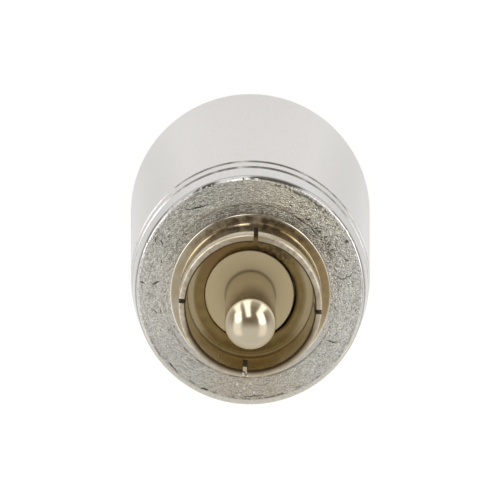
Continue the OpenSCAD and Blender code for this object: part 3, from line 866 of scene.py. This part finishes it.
def mark_sleeve(sleeve):
    """Where the sleeve is brassy, dirty or stained, with painted highlights on its edges, painted shade in
    its corners and painted sheen inside.
    """
    x, y, z = points_of(sleeve).T
    r = np.hypot(x, y)
    angle = clock_of(x, y)
    out = r - SLEEVE_IN_R
    up = z - FLOOR_Z
    on_floor = (out < -0.05) * (up > -0.2)
    on_wall = smooth(out, -0.06, -0.02)
    on_flange = r > SLEEVE_OUT_R + 0.05
    outside = (out > 0.1) * (z < SLEEVE_Z - 0.3)

    tip = smooth(z, SLEEVE_Z - 0.20, SLEEVE_Z - 0.12) * (out > 0.02)
    bright = 0.3 + 0.7 * smooth(y - 0.25 * x, -3.5, 1.5) - 0.8 * lobe(angle, TIP_DULL)
    # Brim: painted shade along the bore's front edge, wider at the bottom
    brim_w = 0.06 + 0.11 * smooth(y, -0.8, -3.2)
    # Painted highlight along the flange's rounded edge, weaker at the top and right
    edge = 0.8 - 0.5 * lobe(angle, EDGE_TOP) - 0.4 * lobe(angle, EDGE_RIGHT)
    edge *= smooth(np.hypot(r - FLANGE_R, z - FLANGE_Z), 0.11, 0.05)
    # Painted highlight along the sleeve's root, at its upper sides and top
    root = 0.8 * lobe(abs(angle), ROOT_SIDE) + 0.7 * lobe(angle, ROOT_TOP)
    # Painted shade in the corner of floor and wall, and in the gap around the insulator
    corner = 0.8 * smooth(np.hypot(out, up - 0.06), 0.085, 0.03)
    bore_rim = smooth(r - NECK_R - NECK_GAP, 0.12, 0.06) * lobe(angle, BORE_RIM) * (up > -0.2)
    low_floor = (up < 0.2) * (out < -0.02) * lower_half(x, y)

    # Dirt on the wall's upper left and upper right and on the flange, and painted shade over the sleeve's
    # upper side
    wall_dirt = 0.45 * lobe(angle, LEFT_DIRT) + 0.8 * lobe(angle, WALL_RIGHT)
    flange_dirt = 0.25 * lobe(angle, FLANGE_DIRT)
    dirt = np.maximum.reduce([grime(x, y), flange_dirt, np.where(on_flange, 0, wall_dirt)])
    dirt *= 0.3 + 0.7 * smooth(z, SLEEVE_Z - 1.5, FLANGE_Z + 0.4)
    wall_brown = np.maximum(lobe(angle, WALL_RIGHT), 0.4 * lobe(angle, LEFT_BROWN))
    brown = np.where(on_flange, 0.95 * lobe(angle, FLANGE_BROWN), wall_brown)
    # Painted sheen: lighter bands on the floor's left and right and on the inner wall's lower sides
    floor_rub = lobe(abs(angle), FLOOR_RUB) * smooth(r + 0.08 * (x > 0), FLOOR_RUB_R, FLOOR_RUB_FULL_R)
    wall_rub = lobe(abs(angle), WALL_RUB)
    mark(
        sleeve,
        inside=smooth(out, 0.06, 0.02) * (up > -1),
        floor=smooth(up, 0.16, 0.08) * (out < -0.02),
        tip=tip,
        silver=tip * bright,
        brim=smooth(out, brim_w + 0.06, brim_w) * smooth(z, SLEEVE_Z - 0.5, SLEEVE_Z - 0.15),
        # The burrs on the front get the painted highlight too
        edge=np.maximum(0.8 * (z > SLEEVE_Z + 0.01), edge),
        root=root * smooth(np.hypot(r - SLEEVE_OUT_R, z - FLANGE_Z), 0.08, 0.03),
        corner=np.maximum(corner, 0.9 * bore_rim),
        glint=0.32 * low_floor * smooth(abs(out + 0.15), 0.04, 0.01),
        dirt=outside * dirt,
        flux=on_floor * lobe(angle, FLUX),
        brown=outside * brown,
        rust=on_floor * lobe(angle, RUST),
        rubbed=(floor_rub + on_wall * (wall_rub - floor_rub)) * (out < 0.02),
    )


def make_sleeve(material, saw_cut):
    sleeve = make_object("ground_sleeve", *revolve(sleeve_rings(), closed=True))
    slot_size = (2 * (SLEEVE_OUT_R + CUT_PAST), SLOT_W, SLOT_DEPTH + CUT_PAST)
    for turn in (SLOT_TURN, SLOT_TURN + math.pi / 2):
        slot = rounded_box("slot_cut", slot_size, SLOT_ROUND, (0, 0, SLEEVE_Z - SLOT_DEPTH),
                           Matrix.Rotation(turn, 4, "Z"))
        combine(sleeve, slot, "DIFFERENCE")
    for foot, top, low, high in BURRS:
        burr = prism("burr", foot, top, SLEEVE_Z + low, SLEEVE_Z + high, Matrix.Rotation(SLOT_TURN, 4, "Z"))
        combine(sleeve, burr, "UNION")
    mark_sleeve(sleeve)
    shade(sleeve, 32)
    finish_piece(sleeve, "rca_ground_sleeve", material)
    second_material(sleeve, saw_cut, in_slot)


def make_pin(material, nose):
    """Round-nosed contact with a riveted tail that ends in a solder cup."""
    ball_z = PIN_TIP_Z - PIN_R
    bore_top = TAIL_Z + TAIL_BORE_LEN
    rivet_edge = 0.1
    foot_edge = 0.05
    profile = (
        [(TAIL_BORE_R, bore_top), (TAIL_BORE_R, TAIL_Z), (TAIL_R, TAIL_Z)]
        + [(TAIL_R, INSULATOR_BACK_Z - RIVET_T)]
        + arc((RIVET_R - rivet_edge, INSULATOR_BACK_Z - RIVET_T + rivet_edge), rivet_edge, -90, 0, 4)
        + [(RIVET_R, INSULATOR_BACK_Z), (TAIL_R, INSULATOR_BACK_Z), (TAIL_R, FLOOR_Z)]
        + arc((PIN_R - foot_edge, FLOOR_Z + foot_edge), foot_edge, -90, 0, 3)
        + line((PIN_R, FLOOR_Z + 0.1), (PIN_R, FLOOR_Z + 0.6), 0.1)
        + line((PIN_R, FLOOR_Z + 0.6), (PIN_R, ball_z), 0.6)
        + arc((0, ball_z), PIN_R, 0, 87, 36)
    )
    rings = [(0, bore_top, 1)] + with_sides(profile, PIN_SIDES) + [(0, PIN_TIP_Z, 1)]
    pin = make_object("contact_pin", *revolve(rings, closed=False))
    z = points_of(pin)[:, 2]
    # Painted shade on the pin at its foot, where it meets the insulator
    mark(pin, foot=smooth(z, FLOOR_Z + 0.32, FLOOR_Z + 0.06) * (z > FLOOR_Z - 0.01))
    shade(pin, 40)
    finish_piece(pin, "rca_center_pin", material)
    second_material(pin, nose, lambda middle: middle.z > ball_z)


def make_insulator(material):
    """Moulded bush whose neck sits a little off centre."""
    bore = TAIL_R + FIT
    edge = 0.08
    profile = (
        [(bore, INSULATOR_BACK_Z), (INSULATOR_FLANGE_R, INSULATOR_BACK_Z), (INSULATOR_FLANGE_R, NECK_STEP_Z)]
        + [(NECK_R, NECK_STEP_Z)]
        + line((NECK_R, NECK_STEP_Z + 0.3), (NECK_R, FLOOR_Z - edge), 0.5)
        + arc((NECK_R - edge, FLOOR_Z - edge), edge, 0, 90, 5)
        + line((NECK_R - 0.2, FLOOR_Z), (PIN_R - 0.1, FLOOR_Z), 0.07)
        + [(bore, FLOOR_Z)]
    )
    points, faces = revolve(with_sides(profile, PIN_SIDES), closed=True)
    x, y, z = points.T
    r = np.hypot(x, y)
    on_neck = (z > NECK_STEP_Z - 0.01) & (r > bore + 0.01) & (r < NECK_R + 0.01)
    points[on_neck, 0] -= NECK_SHIFT
    insulator = make_object("insulator_bush", points, faces)
    x, y, z = points_of(insulator).T
    # Painted shadow on the insulator around the pin's foot
    mark(insulator, grubby=smooth(np.hypot(x, y), PIN_R + 0.16, PIN_R + 0.03) * (z > FLOOR_Z - 0.01))
    shade(insulator, 40)
    finish_piece(insulator, "rca_insulator", material)


# Materials


class Shader:
    """A node tree that is built by short calls."""

    def __init__(self, name):
        self.material = bpy.data.materials.new(name)
        self.material.use_nodes = True
        self.tree = self.material.node_tree
        self.tree.nodes.clear()

    def node(self, kind, settings=None, **inputs):
        made = self.tree.nodes.new("ShaderNode" + kind)
        for key, value in (settings or {}).items():
            setattr(made, key, value)
        for key, value in inputs.items():
            self.feed(made.inputs[key.replace("_", " ")], value)
        return made

    def feed(self, socket, value):
        """Link a socket, or set its value. A colour gets full alpha."""
        if isinstance(value, bpy.types.NodeSocket):
            self.tree.links.new(value, socket)
        elif socket.type == "RGBA":
            socket.default_value = (*value, 1.0)
        else:
            socket.default_value = value

    def work_out(self, kind, operation, values):
        """Outputs of a node that works on the values of its first sockets."""
        made = self.node(kind, {"operation": operation})
        for socket, value in zip(made.inputs, values):
            self.feed(socket, value)
        return made.outputs

    def math(self, operation, *values):
        return self.work_out("Math", operation, values)["Value"]

    def vector(self, operation, *values):
        return self.work_out("VectorMath", operation, values)["Vector"]

    def measure(self, operation, *values):
        """A number worked out from vectors."""
        return self.work_out("VectorMath", operation, values)["Value"]

    def axes(self, vector):
        return self.node("SeparateXYZ", None, Vector=vector).outputs

    def times(self, first, second):
        return self.math("MULTIPLY", first, second)

    def toward(self, value, target, share):
        """A share of the way from a value to a target."""
        return self.math("ADD", value, self.times(share, self.math("SUBTRACT", target, value)))

    def span(self, value, from_low, from_high, to_low=0.0, to_high=1.0, kind="LINEAR"):
        made = self.node("MapRange", {"interpolation_type": kind}, Value=value, From_Min=from_low,
                         From_Max=from_high, To_Min=to_low, To_Max=to_high)
        return made.outputs[0]

    def ramp(self, *values):
        """Like span, with a soft start and end."""
        return self.span(*values, kind="SMOOTHSTEP")

    def mix(self, factor, first, second):
        """Mix of two colours."""
        made = self.node("Mix", {"data_type": "RGBA"})
        for index, value in ((0, factor), (6, first), (7, second)):
            self.feed(made.inputs[index], value)
        return made.outputs[2]

    def tint(self, colour, **marks):
        """A colour that turns into others where marks are strong. Each mark has a target and a share."""
        for name, (target, share) in marks.items():
            colour = self.mix(self.times(self.attribute(name), share), colour, target)
        return colour

    def place(self, stretch=(1, 1, 1)):
        """Object coordinates in millimetres, stretched along each axis."""
        where = self.node("TexCoord").outputs["Object"]
        scale = tuple(s / MM for s in stretch)
        return self.node("Mapping", None, Vector=where, Scale=scale).outputs[0]

    def flat_place(self):
        """The same without the height."""
        return self.place((1, 1, 0))

    def noise(self, vector, scale, detail=3.0, roughness=0.55):
        made = self.node("TexNoise", None, Vector=vector, Scale=scale, Detail=detail, Roughness=roughness)
        return made.outputs["Fac"]

    def clouds(self, scale):
        return self.noise(self.place(), scale, 4.0)

    def attribute(self, name):
        return self.node("Attribute", {"attribute_name": name}).outputs["Fac"]

    def bump(self, height, distance_mm, strength=1.0, **normal):
        made = self.node("Bump", None, Height=height, Distance=distance_mm * MM, Strength=strength, **normal)
        return made.outputs[0]

    def join(self, kind, first, second, **inputs):
        """A shader that adds or mixes two others."""
        made = self.node(kind, None, **inputs)
        self.feed(made.inputs[-2], first.outputs[0])
        self.feed(made.inputs[-1], second.outputs[0])
        return made

    def surface(self, **inputs):
        """The Principled shader as the surface of this material."""
        return self.output(self.node("BsdfPrincipled", None, **inputs))

    def output(self, shader):
        self.node("OutputMaterial", None, Surface=shader.outputs[0])
        return self.material


def crackle(s):
    """Fine broken cracks over the face, from 0 to 1."""
    mm = s.place()
    drift = s.node("TexNoise", None, Vector=mm, Scale=2.5, Detail=2.0).outputs["Color"]
    bent = s.vector("MULTIPLY_ADD", drift, (0.35, 0.35, 0.0), mm)
    cells = s.node("TexVoronoi", {"feature": "DISTANCE_TO_EDGE", "voronoi_dimensions": "2D"},
                   Vector=bent, Scale=6.0)
    thin = s.ramp(cells.outputs["Distance"], 0.03, 0.15, 1.0, 0.0)
    return s.times(thin, s.ramp(s.noise(mm, 4.5, 2.0), 0.46, 0.58))


def barrel_material():
    """Bright nickel over zinc: polished outside, sandy on the cast face, with painted shade in its pits."""
    s = Shader("barrel_nickel")
    cast = s.attribute("cast")
    coarse = s.attribute("coarse")
    groove = s.attribute("groove")
    mm = s.place()
    cloud = s.clouds(0.35)
    polish = s.tint(
        s.mix(cloud, (0.60, 0.585, 0.57), (0.65, 0.635, 0.62)),
        collar=((0.67, 0.675, 0.69), 0.6),
        # Painted reflection on the lower half of the polished edge
        warm=((0.84, 0.79, 0.69), 0.8),
    )
    mottle = s.span(s.noise(mm, 6.0, 4.0, 0.7), 0.32, 0.68)
    sandy = s.tint(
        s.mix(mottle, (0.735, 0.735, 0.71), (0.835, 0.835, 0.81)),
        yellowed=((0.84, 0.82, 0.70), 0.7),
        stain=((0.60, 0.525, 0.41), 0.6),
        # Painted shade on the left of the face
        deep=((0.69, 0.69, 0.66), 1.0),
        # Painted light on the face's sides, with the machined spot face and the specks
        pale=((0.95, 0.95, 0.93), 1.0),
    )
    sand = s.noise(s.place((0.6, 1.0, 1.0)), 12.0, 1.5, 0.6)
    # Painted shade in the hollows of the sandy bump
    pits = s.times(s.ramp(sand, 0.44, 0.33), s.span(coarse, 0.4, 1.3, 0.15, 0.9))
    lines = s.times(crackle(s), s.span(coarse, 0.6, 1.25, 0.25, 1.0))
    dark = s.math("MAXIMUM", s.attribute("dark"), s.math("MAXIMUM", pits, lines))
    colour = s.mix(cast, polish, sandy)
    colour = s.mix(s.times(dark, 0.9), colour, (0.06, 0.055, 0.045))
    # Painted shade in the grooves
    colour = s.mix(groove, colour, (0.12, 0.11, 0.09))
    hairlines = s.noise(s.place((2.2, 2.2, 0.12)), 9.0, 2.0)
    haze = s.math("ADD", s.times(cloud, 0.6), s.times(hairlines, 0.4))
    polish_rough = s.toward(s.span(haze, 0.3, 0.7, 0.05, 0.11), 0.5, groove)
    skin_rough = s.span(s.noise(mm, 5.0), 0.3, 0.7, 0.28, 0.40)
    peel = s.bump(s.noise(mm, 1.2, 2.0), 0.002, 0.5)
    relief = s.bump(s.times(sand, coarse), 0.095, Normal=peel)
    return s.surface(Base_Color=colour, Metallic=1.0, Roughness=s.toward(polish_rough, skin_rough, cast),
                     Normal=relief, Specular_Tint=(0.80, 0.79, 0.78))


def turned_metal(name, light, dark, low_rough, high_rough):
    """Plated turned metal: faint tool rings across the axis and cloudy tarnish."""
    s = Shader(name)
    mm = s.place()
    colour = s.mix(s.span(s.clouds(0.9), 0.35, 0.75), light, dark)
    run = s.node("CombineXYZ", None, X=s.measure("LENGTH", s.flat_place()), Z=s.axes(mm)["Z"])
    rings = s.noise(run.outputs[0], 9.0, 2.0)
    rough = s.span(s.noise(mm, 2.5, 3.0), 0.3, 0.7, low_rough, high_rough)
    bump = s.bump(rings, 0.0015, 0.6)
    return s, {"Base_Color": colour, "Metallic": 1.0, "Roughness": rough, "Normal": bump}


def metal_material(*look, **more):
    """Turned metal, with more inputs of the Principled shader."""
    s, inputs = turned_metal(*look)
    return s.surface(**inputs, **more)


def sleeve_material():
    """Plated outside and dull brassy inside."""
    s, inputs = turned_metal("contact_nickel_sleeve", (0.68, 0.60, 0.46), (0.56, 0.47, 0.33), 0.11, 0.2)
    blotch = s.clouds(1.6)
    # Painted sheen: lighter, rougher bands on the inner wall and floor
    rubbed = s.times(s.attribute("rubbed"), 0.85)
    wall = s.mix(blotch, (0.60, 0.52, 0.36), (0.80, 0.72, 0.54))
    wall = s.mix(rubbed, wall, (1.0, 0.95, 0.84))
    floor = s.mix(blotch, (0.20, 0.135, 0.05), (0.38, 0.28, 0.12))
    floor = s.tint(
        s.mix(rubbed, floor, (0.66, 0.57, 0.38)),
        rust=((0.27, 0.165, 0.075), s.span(blotch, 0.4, 0.6, 0.2, 0.9)),
        flux=((0.11, 0.085, 0.06), s.span(s.clouds(3.2), 0.44, 0.57, 0.0, 0.9)),
    )
    silver = s.mix(s.span(s.clouds(2.4), 0.35, 0.6), (0.58, 0.50, 0.38), (0.88, 0.82, 0.69))
    colour = s.tint(
        inputs["Base_Color"],
        inside=(wall, 1.0),
        floor=(floor, 1.0),
        tip=((0.40, 0.32, 0.21), 0.3),
        silver=(silver, 1.0),
    )
    # Painted shade along the bore's front edge, in the floor's corner and around the insulator
    shadow = s.math("MAXIMUM", s.times(s.attribute("brim"), 0.95), s.attribute("corner"))
    inputs["Base_Color"] = s.tint(
        s.mix(shadow, colour, (0.08, 0.05, 0.02)),
        glint=((1.0, 0.92, 0.62), 1.0),
        brown=((0.47, 0.345, 0.175), 1.0),
        # Dirt, and painted shade over the upper side of the outer wall and flange
        dirt=((0.14, 0.11, 0.08), s.span(s.clouds(2.2), 0.38, 0.62, 0.15, 0.9)),
        # Painted highlights along the flange's edge, the burrs and the sleeve's root
        edge=((1.0, 0.96, 0.86), 1.0),
        root=((1.0, 0.88, 0.60), 1.0),
    )
    rough = s.toward(inputs["Roughness"], 0.32, rubbed)
    inputs["Roughness"] = s.toward(rough, 0.34, s.attribute("tip"))
    return s.surface(**inputs)


def saw_cut_material():
    """Bare walls of the sawn slots: dull, streaked by the blade, and dark with painted shade."""
    s = Shader("contact_nickel_saw_cut")
    colour = s.mix(s.noise(s.place((1, 1, 6)), 5.0), (0.07, 0.05, 0.03), (0.16, 0.12, 0.07))
    bump = s.bump(s.noise(s.place((1, 1, 8)), 4.0), 0.01, 0.8)
    return s.surface(Base_Color=colour, Metallic=0.6, Roughness=0.6, Normal=bump)


def pin_material():
    """Plated shaft of the contact, with painted shade at its foot."""
    s, inputs = turned_metal("contact_nickel_pin", (0.69, 0.60, 0.45), (0.62, 0.53, 0.38), 0.14, 0.20)
    # Painted shade at the pin's foot
    inputs["Base_Color"] = s.tint(inputs["Base_Color"], foot=((0.22, 0.165, 0.09), 0.45))
    return s.surface(**inputs)


def nose_material():
    """The contact's round nose: the pin's plating made lighter, as painted light."""
    return metal_material("contact_nickel_nose", (0.73, 0.65, 0.51), (0.68, 0.60, 0.45), 0.14, 0.20,
                          Specular_Tint=(0.50, 0.45, 0.36))


def plastic_material(name, light, dark, rough, grain_scale, grain_mm):
    """Moulded plastic: slight cloudiness and a fine moulded grain."""
    s = Shader(name)
    mm = s.place()
    # Painted shadow around the pin's foot, on the insulator only
    colour = s.tint(s.mix(s.clouds(0.8), dark, light), grubby=((0.20, 0.15, 0.08), 0.6))
    shine = s.span(s.noise(mm, 3.0), 0.3, 0.7, rough - 0.06, rough + 0.06)
    bump = s.bump(s.noise(mm, grain_scale), grain_mm, 0.5)
    return s.surface(Base_Color=colour, Roughness=shine, Normal=bump)


def solder_material():
    """Frozen solder: bright, softly dimpled, with dull patches."""
    s = Shader("solder")
    mm = s.place()
    colour = s.mix(s.clouds(2.0), (0.42, 0.42, 0.43), (0.66, 0.67, 0.68))
    rough = s.span(s.noise(mm, 3.0), 0.3, 0.7, 0.16, 0.42)
    bump = s.bump(s.noise(mm, 2.2, 2.0), 0.03, 0.7)
    return s.surface(Base_Color=colour, Metallic=1.0, Roughness=rough, Normal=bump)


# Pieces

make_barrel(barrel_material())
make_sleeve(sleeve_material(), saw_cut_material())
make_pin(pin_material(), nose_material())
make_insulator(plastic_material("ivory_plastic", (0.68, 0.585, 0.38), (0.61, 0.515, 0.32), 0.45, 14.0, 0.006))

nylon = plastic_material("black_plastic", (0.035, 0.035, 0.038), (0.018, 0.018, 0.020), 0.42, 9.0, 0.012)
tinned = metal_material("tinned_metal", (0.66, 0.66, 0.66), (0.52, 0.52, 0.52), 0.2, 0.34)
bevelled_copy("insert_block", "xlr_insert", 0.12, nylon)
bevelled_copy("grub_screw", "insert_screw", 0.05, tinned)

silver = metal_material("silver_contact", (0.84, 0.82, 0.77), (0.70, 0.67, 0.60), 0.09, 0.2)
red_jacket = plastic_material("red_jacket", (0.42, 0.03, 0.025), (0.33, 0.02, 0.02), 0.4, 5.0, 0.008)
black_jacket = plastic_material("black_jacket", (0.03, 0.03, 0.033), (0.018, 0.018, 0.02), 0.42, 5.0, 0.008)
CAD_LOOKS = [
    (silver, ["xlr_pin_1", "xlr_pin_2", "xlr_pin_3"]),
    (tinned, ["ground_tag", "signal_wire_core", "ground_wire_core", "pin_link"]),
    (red_jacket, ["signal_wire_jacket"]),
    (black_jacket, ["ground_wire_jacket"]),
    (solder_material(), ["rca_pin_solder", "tag_solder", "pin_1_solder", "pin_2_solder", "pin_3_solder"]),
]
for look, nodes in CAD_LOOKS:
    for node in nodes:
        for material_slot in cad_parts[node].material_slots:
            material_slot.material = look


# Stage: white floor, a light tent and the camera

FLOOR_R = 3000.0
FLOOR_DROP = 0.02
FLOOR_GLOW = 0.62
FLOOR_SIDE_DIM = 0.16
FLOOR_SIDE_FROM, FLOOR_SIDE_FULL = 0.6, 0.98
FLOOR_CATCH = 0.42
FLOOR_BOUNCE = 0.8
TENT_FOOT_R = 34.0
TENT_R = 110.0
TENT_Z = 56.0
WHITE = (1.0, 1.0, 1.0)


def make_floor():
    """A floor that glows white for the camera and in mirrors, keeps shadows and is clear from below."""
    rings = [(0, -FLOOR_DROP, 1), (FLOOR_R, -FLOOR_DROP, STAGE_SIDES)]
    floor = make_object("floor", *revolve(rings, closed=False))
    s = Shader("floor_white")
    path = s.node("LightPath").outputs
    seen = s.math("MAXIMUM", path["Is Camera Ray"], path["Is Glossy Ray"])
    seen = s.math("MAXIMUM", seen, path["Is Transmission Ray"])
    in_cup = s.math("LESS_THAN", s.measure("LENGTH", s.flat_place()), CUP_R)
    under_cup = s.times(in_cup, path["Is Camera Ray"])
    # Painted shade: mirrors see the floor dimmer towards ±X, which darkens the barrel's sides
    aside = s.math("ABSOLUTE", s.axes(s.vector("NORMALIZE", s.flat_place()))["X"])
    dim = s.ramp(aside, FLOOR_SIDE_FROM, FLOOR_SIDE_FULL, 0.0, FLOOR_SIDE_DIM)
    glow = s.math("SUBTRACT", FLOOR_GLOW, s.times(dim, path["Is Glossy Ray"]))
    glow = s.times(glow, s.math("SUBTRACT", 1.0, under_cup))
    light = s.node("Emission", None, Color=WHITE, Strength=glow)
    catch = s.node("BsdfDiffuse", None, Color=[FLOOR_CATCH] * 3)
    plain = s.node("BsdfDiffuse", None, Color=[FLOOR_BOUNCE] * 3)
    top = s.join("MixShader", plain, s.join("AddShader", light, catch), Fac=seen)
    below = s.node("NewGeometry").outputs["Backfacing"]
    floor.data.materials.append(s.output(s.join("MixShader", top, s.node("BsdfTransparent"), Fac=below)))
    s.material.cycles.emission_sampling = "NONE"
    if floor.data.polygons[0].normal.z < 0:
        floor.data.flip_normals()


# Soft strips of the light tent: directions of both ends, inner and outer half width in degrees, brightness
TENT_STRIPS = [
    ((-0.11, 0.44, 0.89), (0.02, 0.40, 0.91), 5, 16, 0.18),
    ((-0.86, 0.10, 0.50), (-0.83, -0.37, 0.43), 12, 28, 1.1),
    ((0.85, 0.00, 0.53), (0.78, -0.47, 0.41), 10, 26, 1.05),
    ((-0.76, 0.58, 0.25), (-0.79, 0.40, 0.46), 10, 20, 2.1),
    ((0.70, 0.55, 0.42), (0.80, 0.30, 0.52), 11, 21, 2.1),
    ((-0.67, 0.74, -0.02), (-0.50, 0.62, -0.60), 6, 13, 1.6),
    ((0.55, 0.72, 0.40), (0.55, 0.60, -0.58), 5, 12, 1.7),
    ((-0.13, 0.73, 0.67), (-0.12, 0.75, -0.62), 6, 12, 1.9),
    ((0.55, 0.42, -0.72), (0.69, 0.15, -0.70), 5, 12, 1.1),
]
TENT_WARM = (1.0, 0.985, 0.95)
TENT_BROWN = (1.0, 0.86, 0.66)
TENT_BACK, TENT_FRONT = 0.71, 0.22
WALL_BACK, WALL_FRONT = 0.76, 0.40
TENT_FOOT = 0.95

# Where the tent's glow changes, by parts of its heading, and the glow at which brown turns to warm white
DOME_FADE_Y, WALL_FADE_Y = (-0.40, 0.36), (-0.5, 0.5)
WALL_FADE_Z, FOOT_FADE_Z = (0.05, -0.15), (-0.30, -0.85)
BROWN_GLOW, WARM_GLOW = 0.22, 0.6


def make_tent():
    """A white tent around the object whose inside glows softly. The camera doesn't see it."""
    dome = with_sides(arc((0, TENT_Z), TENT_R, 0, 88, 22), STAGE_SIDES)
    rings = [(TENT_FOOT_R, 0, STAGE_SIDES)] + dome + [(0, TENT_Z + TENT_R, 1)]
    tent = make_object("light_tent", *revolve(rings, closed=False))
    s = Shader("light_tent")
    from_center = s.vector("SUBTRACT", s.node("NewGeometry").outputs["Position"], (0, 0, TENT_Z * MM))
    heading = s.vector("NORMALIZE", from_center)
    axes = s.axes(heading)
    glow = s.ramp(axes["Y"], *DOME_FADE_Y, TENT_BACK, TENT_FRONT)
    wall = s.ramp(axes["Y"], *WALL_FADE_Y, WALL_BACK, WALL_FRONT)
    glow = s.toward(glow, wall, s.ramp(axes["Z"], *WALL_FADE_Z))
    glow = s.toward(glow, TENT_FOOT, s.ramp(axes["Z"], *FOOT_FADE_Z))
    for first, last, inner, outer, brightness in TENT_STRIPS:
        first, last = Vector(first).normalized(), Vector(last).normalized()
        half = first.angle(last) / 2
        inner, outer = math.radians(inner), math.radians(outer)
        aside = s.math("ABSOLUTE", s.measure("DOT_PRODUCT", heading, first.cross(last).normalized()))
        along = s.measure("DOT_PRODUCT", heading, (first + last).normalized())
        share = s.times(s.ramp(aside, math.sin(outer), math.sin(inner)),
                        s.ramp(along, math.cos(half + outer), math.cos(half + inner)))
        glow = s.toward(glow, brightness, share)
    tint = s.mix(s.span(glow, BROWN_GLOW, WARM_GLOW), TENT_BROWN, TENT_WARM)
    tent.data.materials.append(s.output(s.node("Emission", None, Color=tint, Strength=glow)))
    for face in tent.data.polygons:
        face.use_smooth = True
    tent.visible_camera = False
    tent.visible_shadow = False


LAMP_R = 250.0
LAMP_Z = 900.0
LAMP_WATTS = 3.2


def make_lamp():
    """A soft lamp straight above, which lights dull surfaces and isn't mirrored in the metal."""
    data = bpy.data.lights.new("soft_lamp", "AREA")
    data.shape = "DISK"
    data.size = 2 * LAMP_R * MM
    data.energy = LAMP_WATTS
    lamp = add_object("soft_lamp", data)
    lamp.location = (0, 0, LAMP_Z * MM)
    lamp.visible_glossy = False
    lamp.visible_camera = False


def make_world():
    world = bpy.data.worlds.new("white_world")
    world.use_nodes = True
    background = world.node_tree.nodes["Background"]
    background.inputs["Color"].default_value = (*WHITE, 1.0)
    background.inputs["Strength"].default_value = 1.0
    bpy.context.scene.world = world


# The photograph's camera, in millimetres: it looks down the adapter's axis, a little from the +Y side
CAMERA_AT = (-0.019, 29.9, 254.0)
CAMERA_LOOK = (0.0, -0.1284, -0.9917)
CAMERA_LENS = 231.05
CAMERA_SENSOR = 36.0
CAMERA_CLIP = (10.0, 10000.0)


def make_camera():
    data = bpy.data.cameras.new("camera")
    data.lens = CAMERA_LENS
    data.sensor_width = CAMERA_SENSOR
    data.clip_start, data.clip_end = (limit * MM for limit in CAMERA_CLIP)
    camera = add_object("camera", data)
    back = -Vector(CAMERA_LOOK).normalized()
    right = Vector((1, 0, 0))
    up = back.cross(right)
    turn = Matrix((right, up, back)).transposed().to_4x4()
    camera.matrix_world = Matrix.Translation(Vector(CAMERA_AT) * MM) @ turn
    bpy.context.scene.camera = camera


make_floor()
make_tent()
make_lamp()
make_world()
make_camera()
bpy.context.scene.view_settings.view_transform = "Standard"
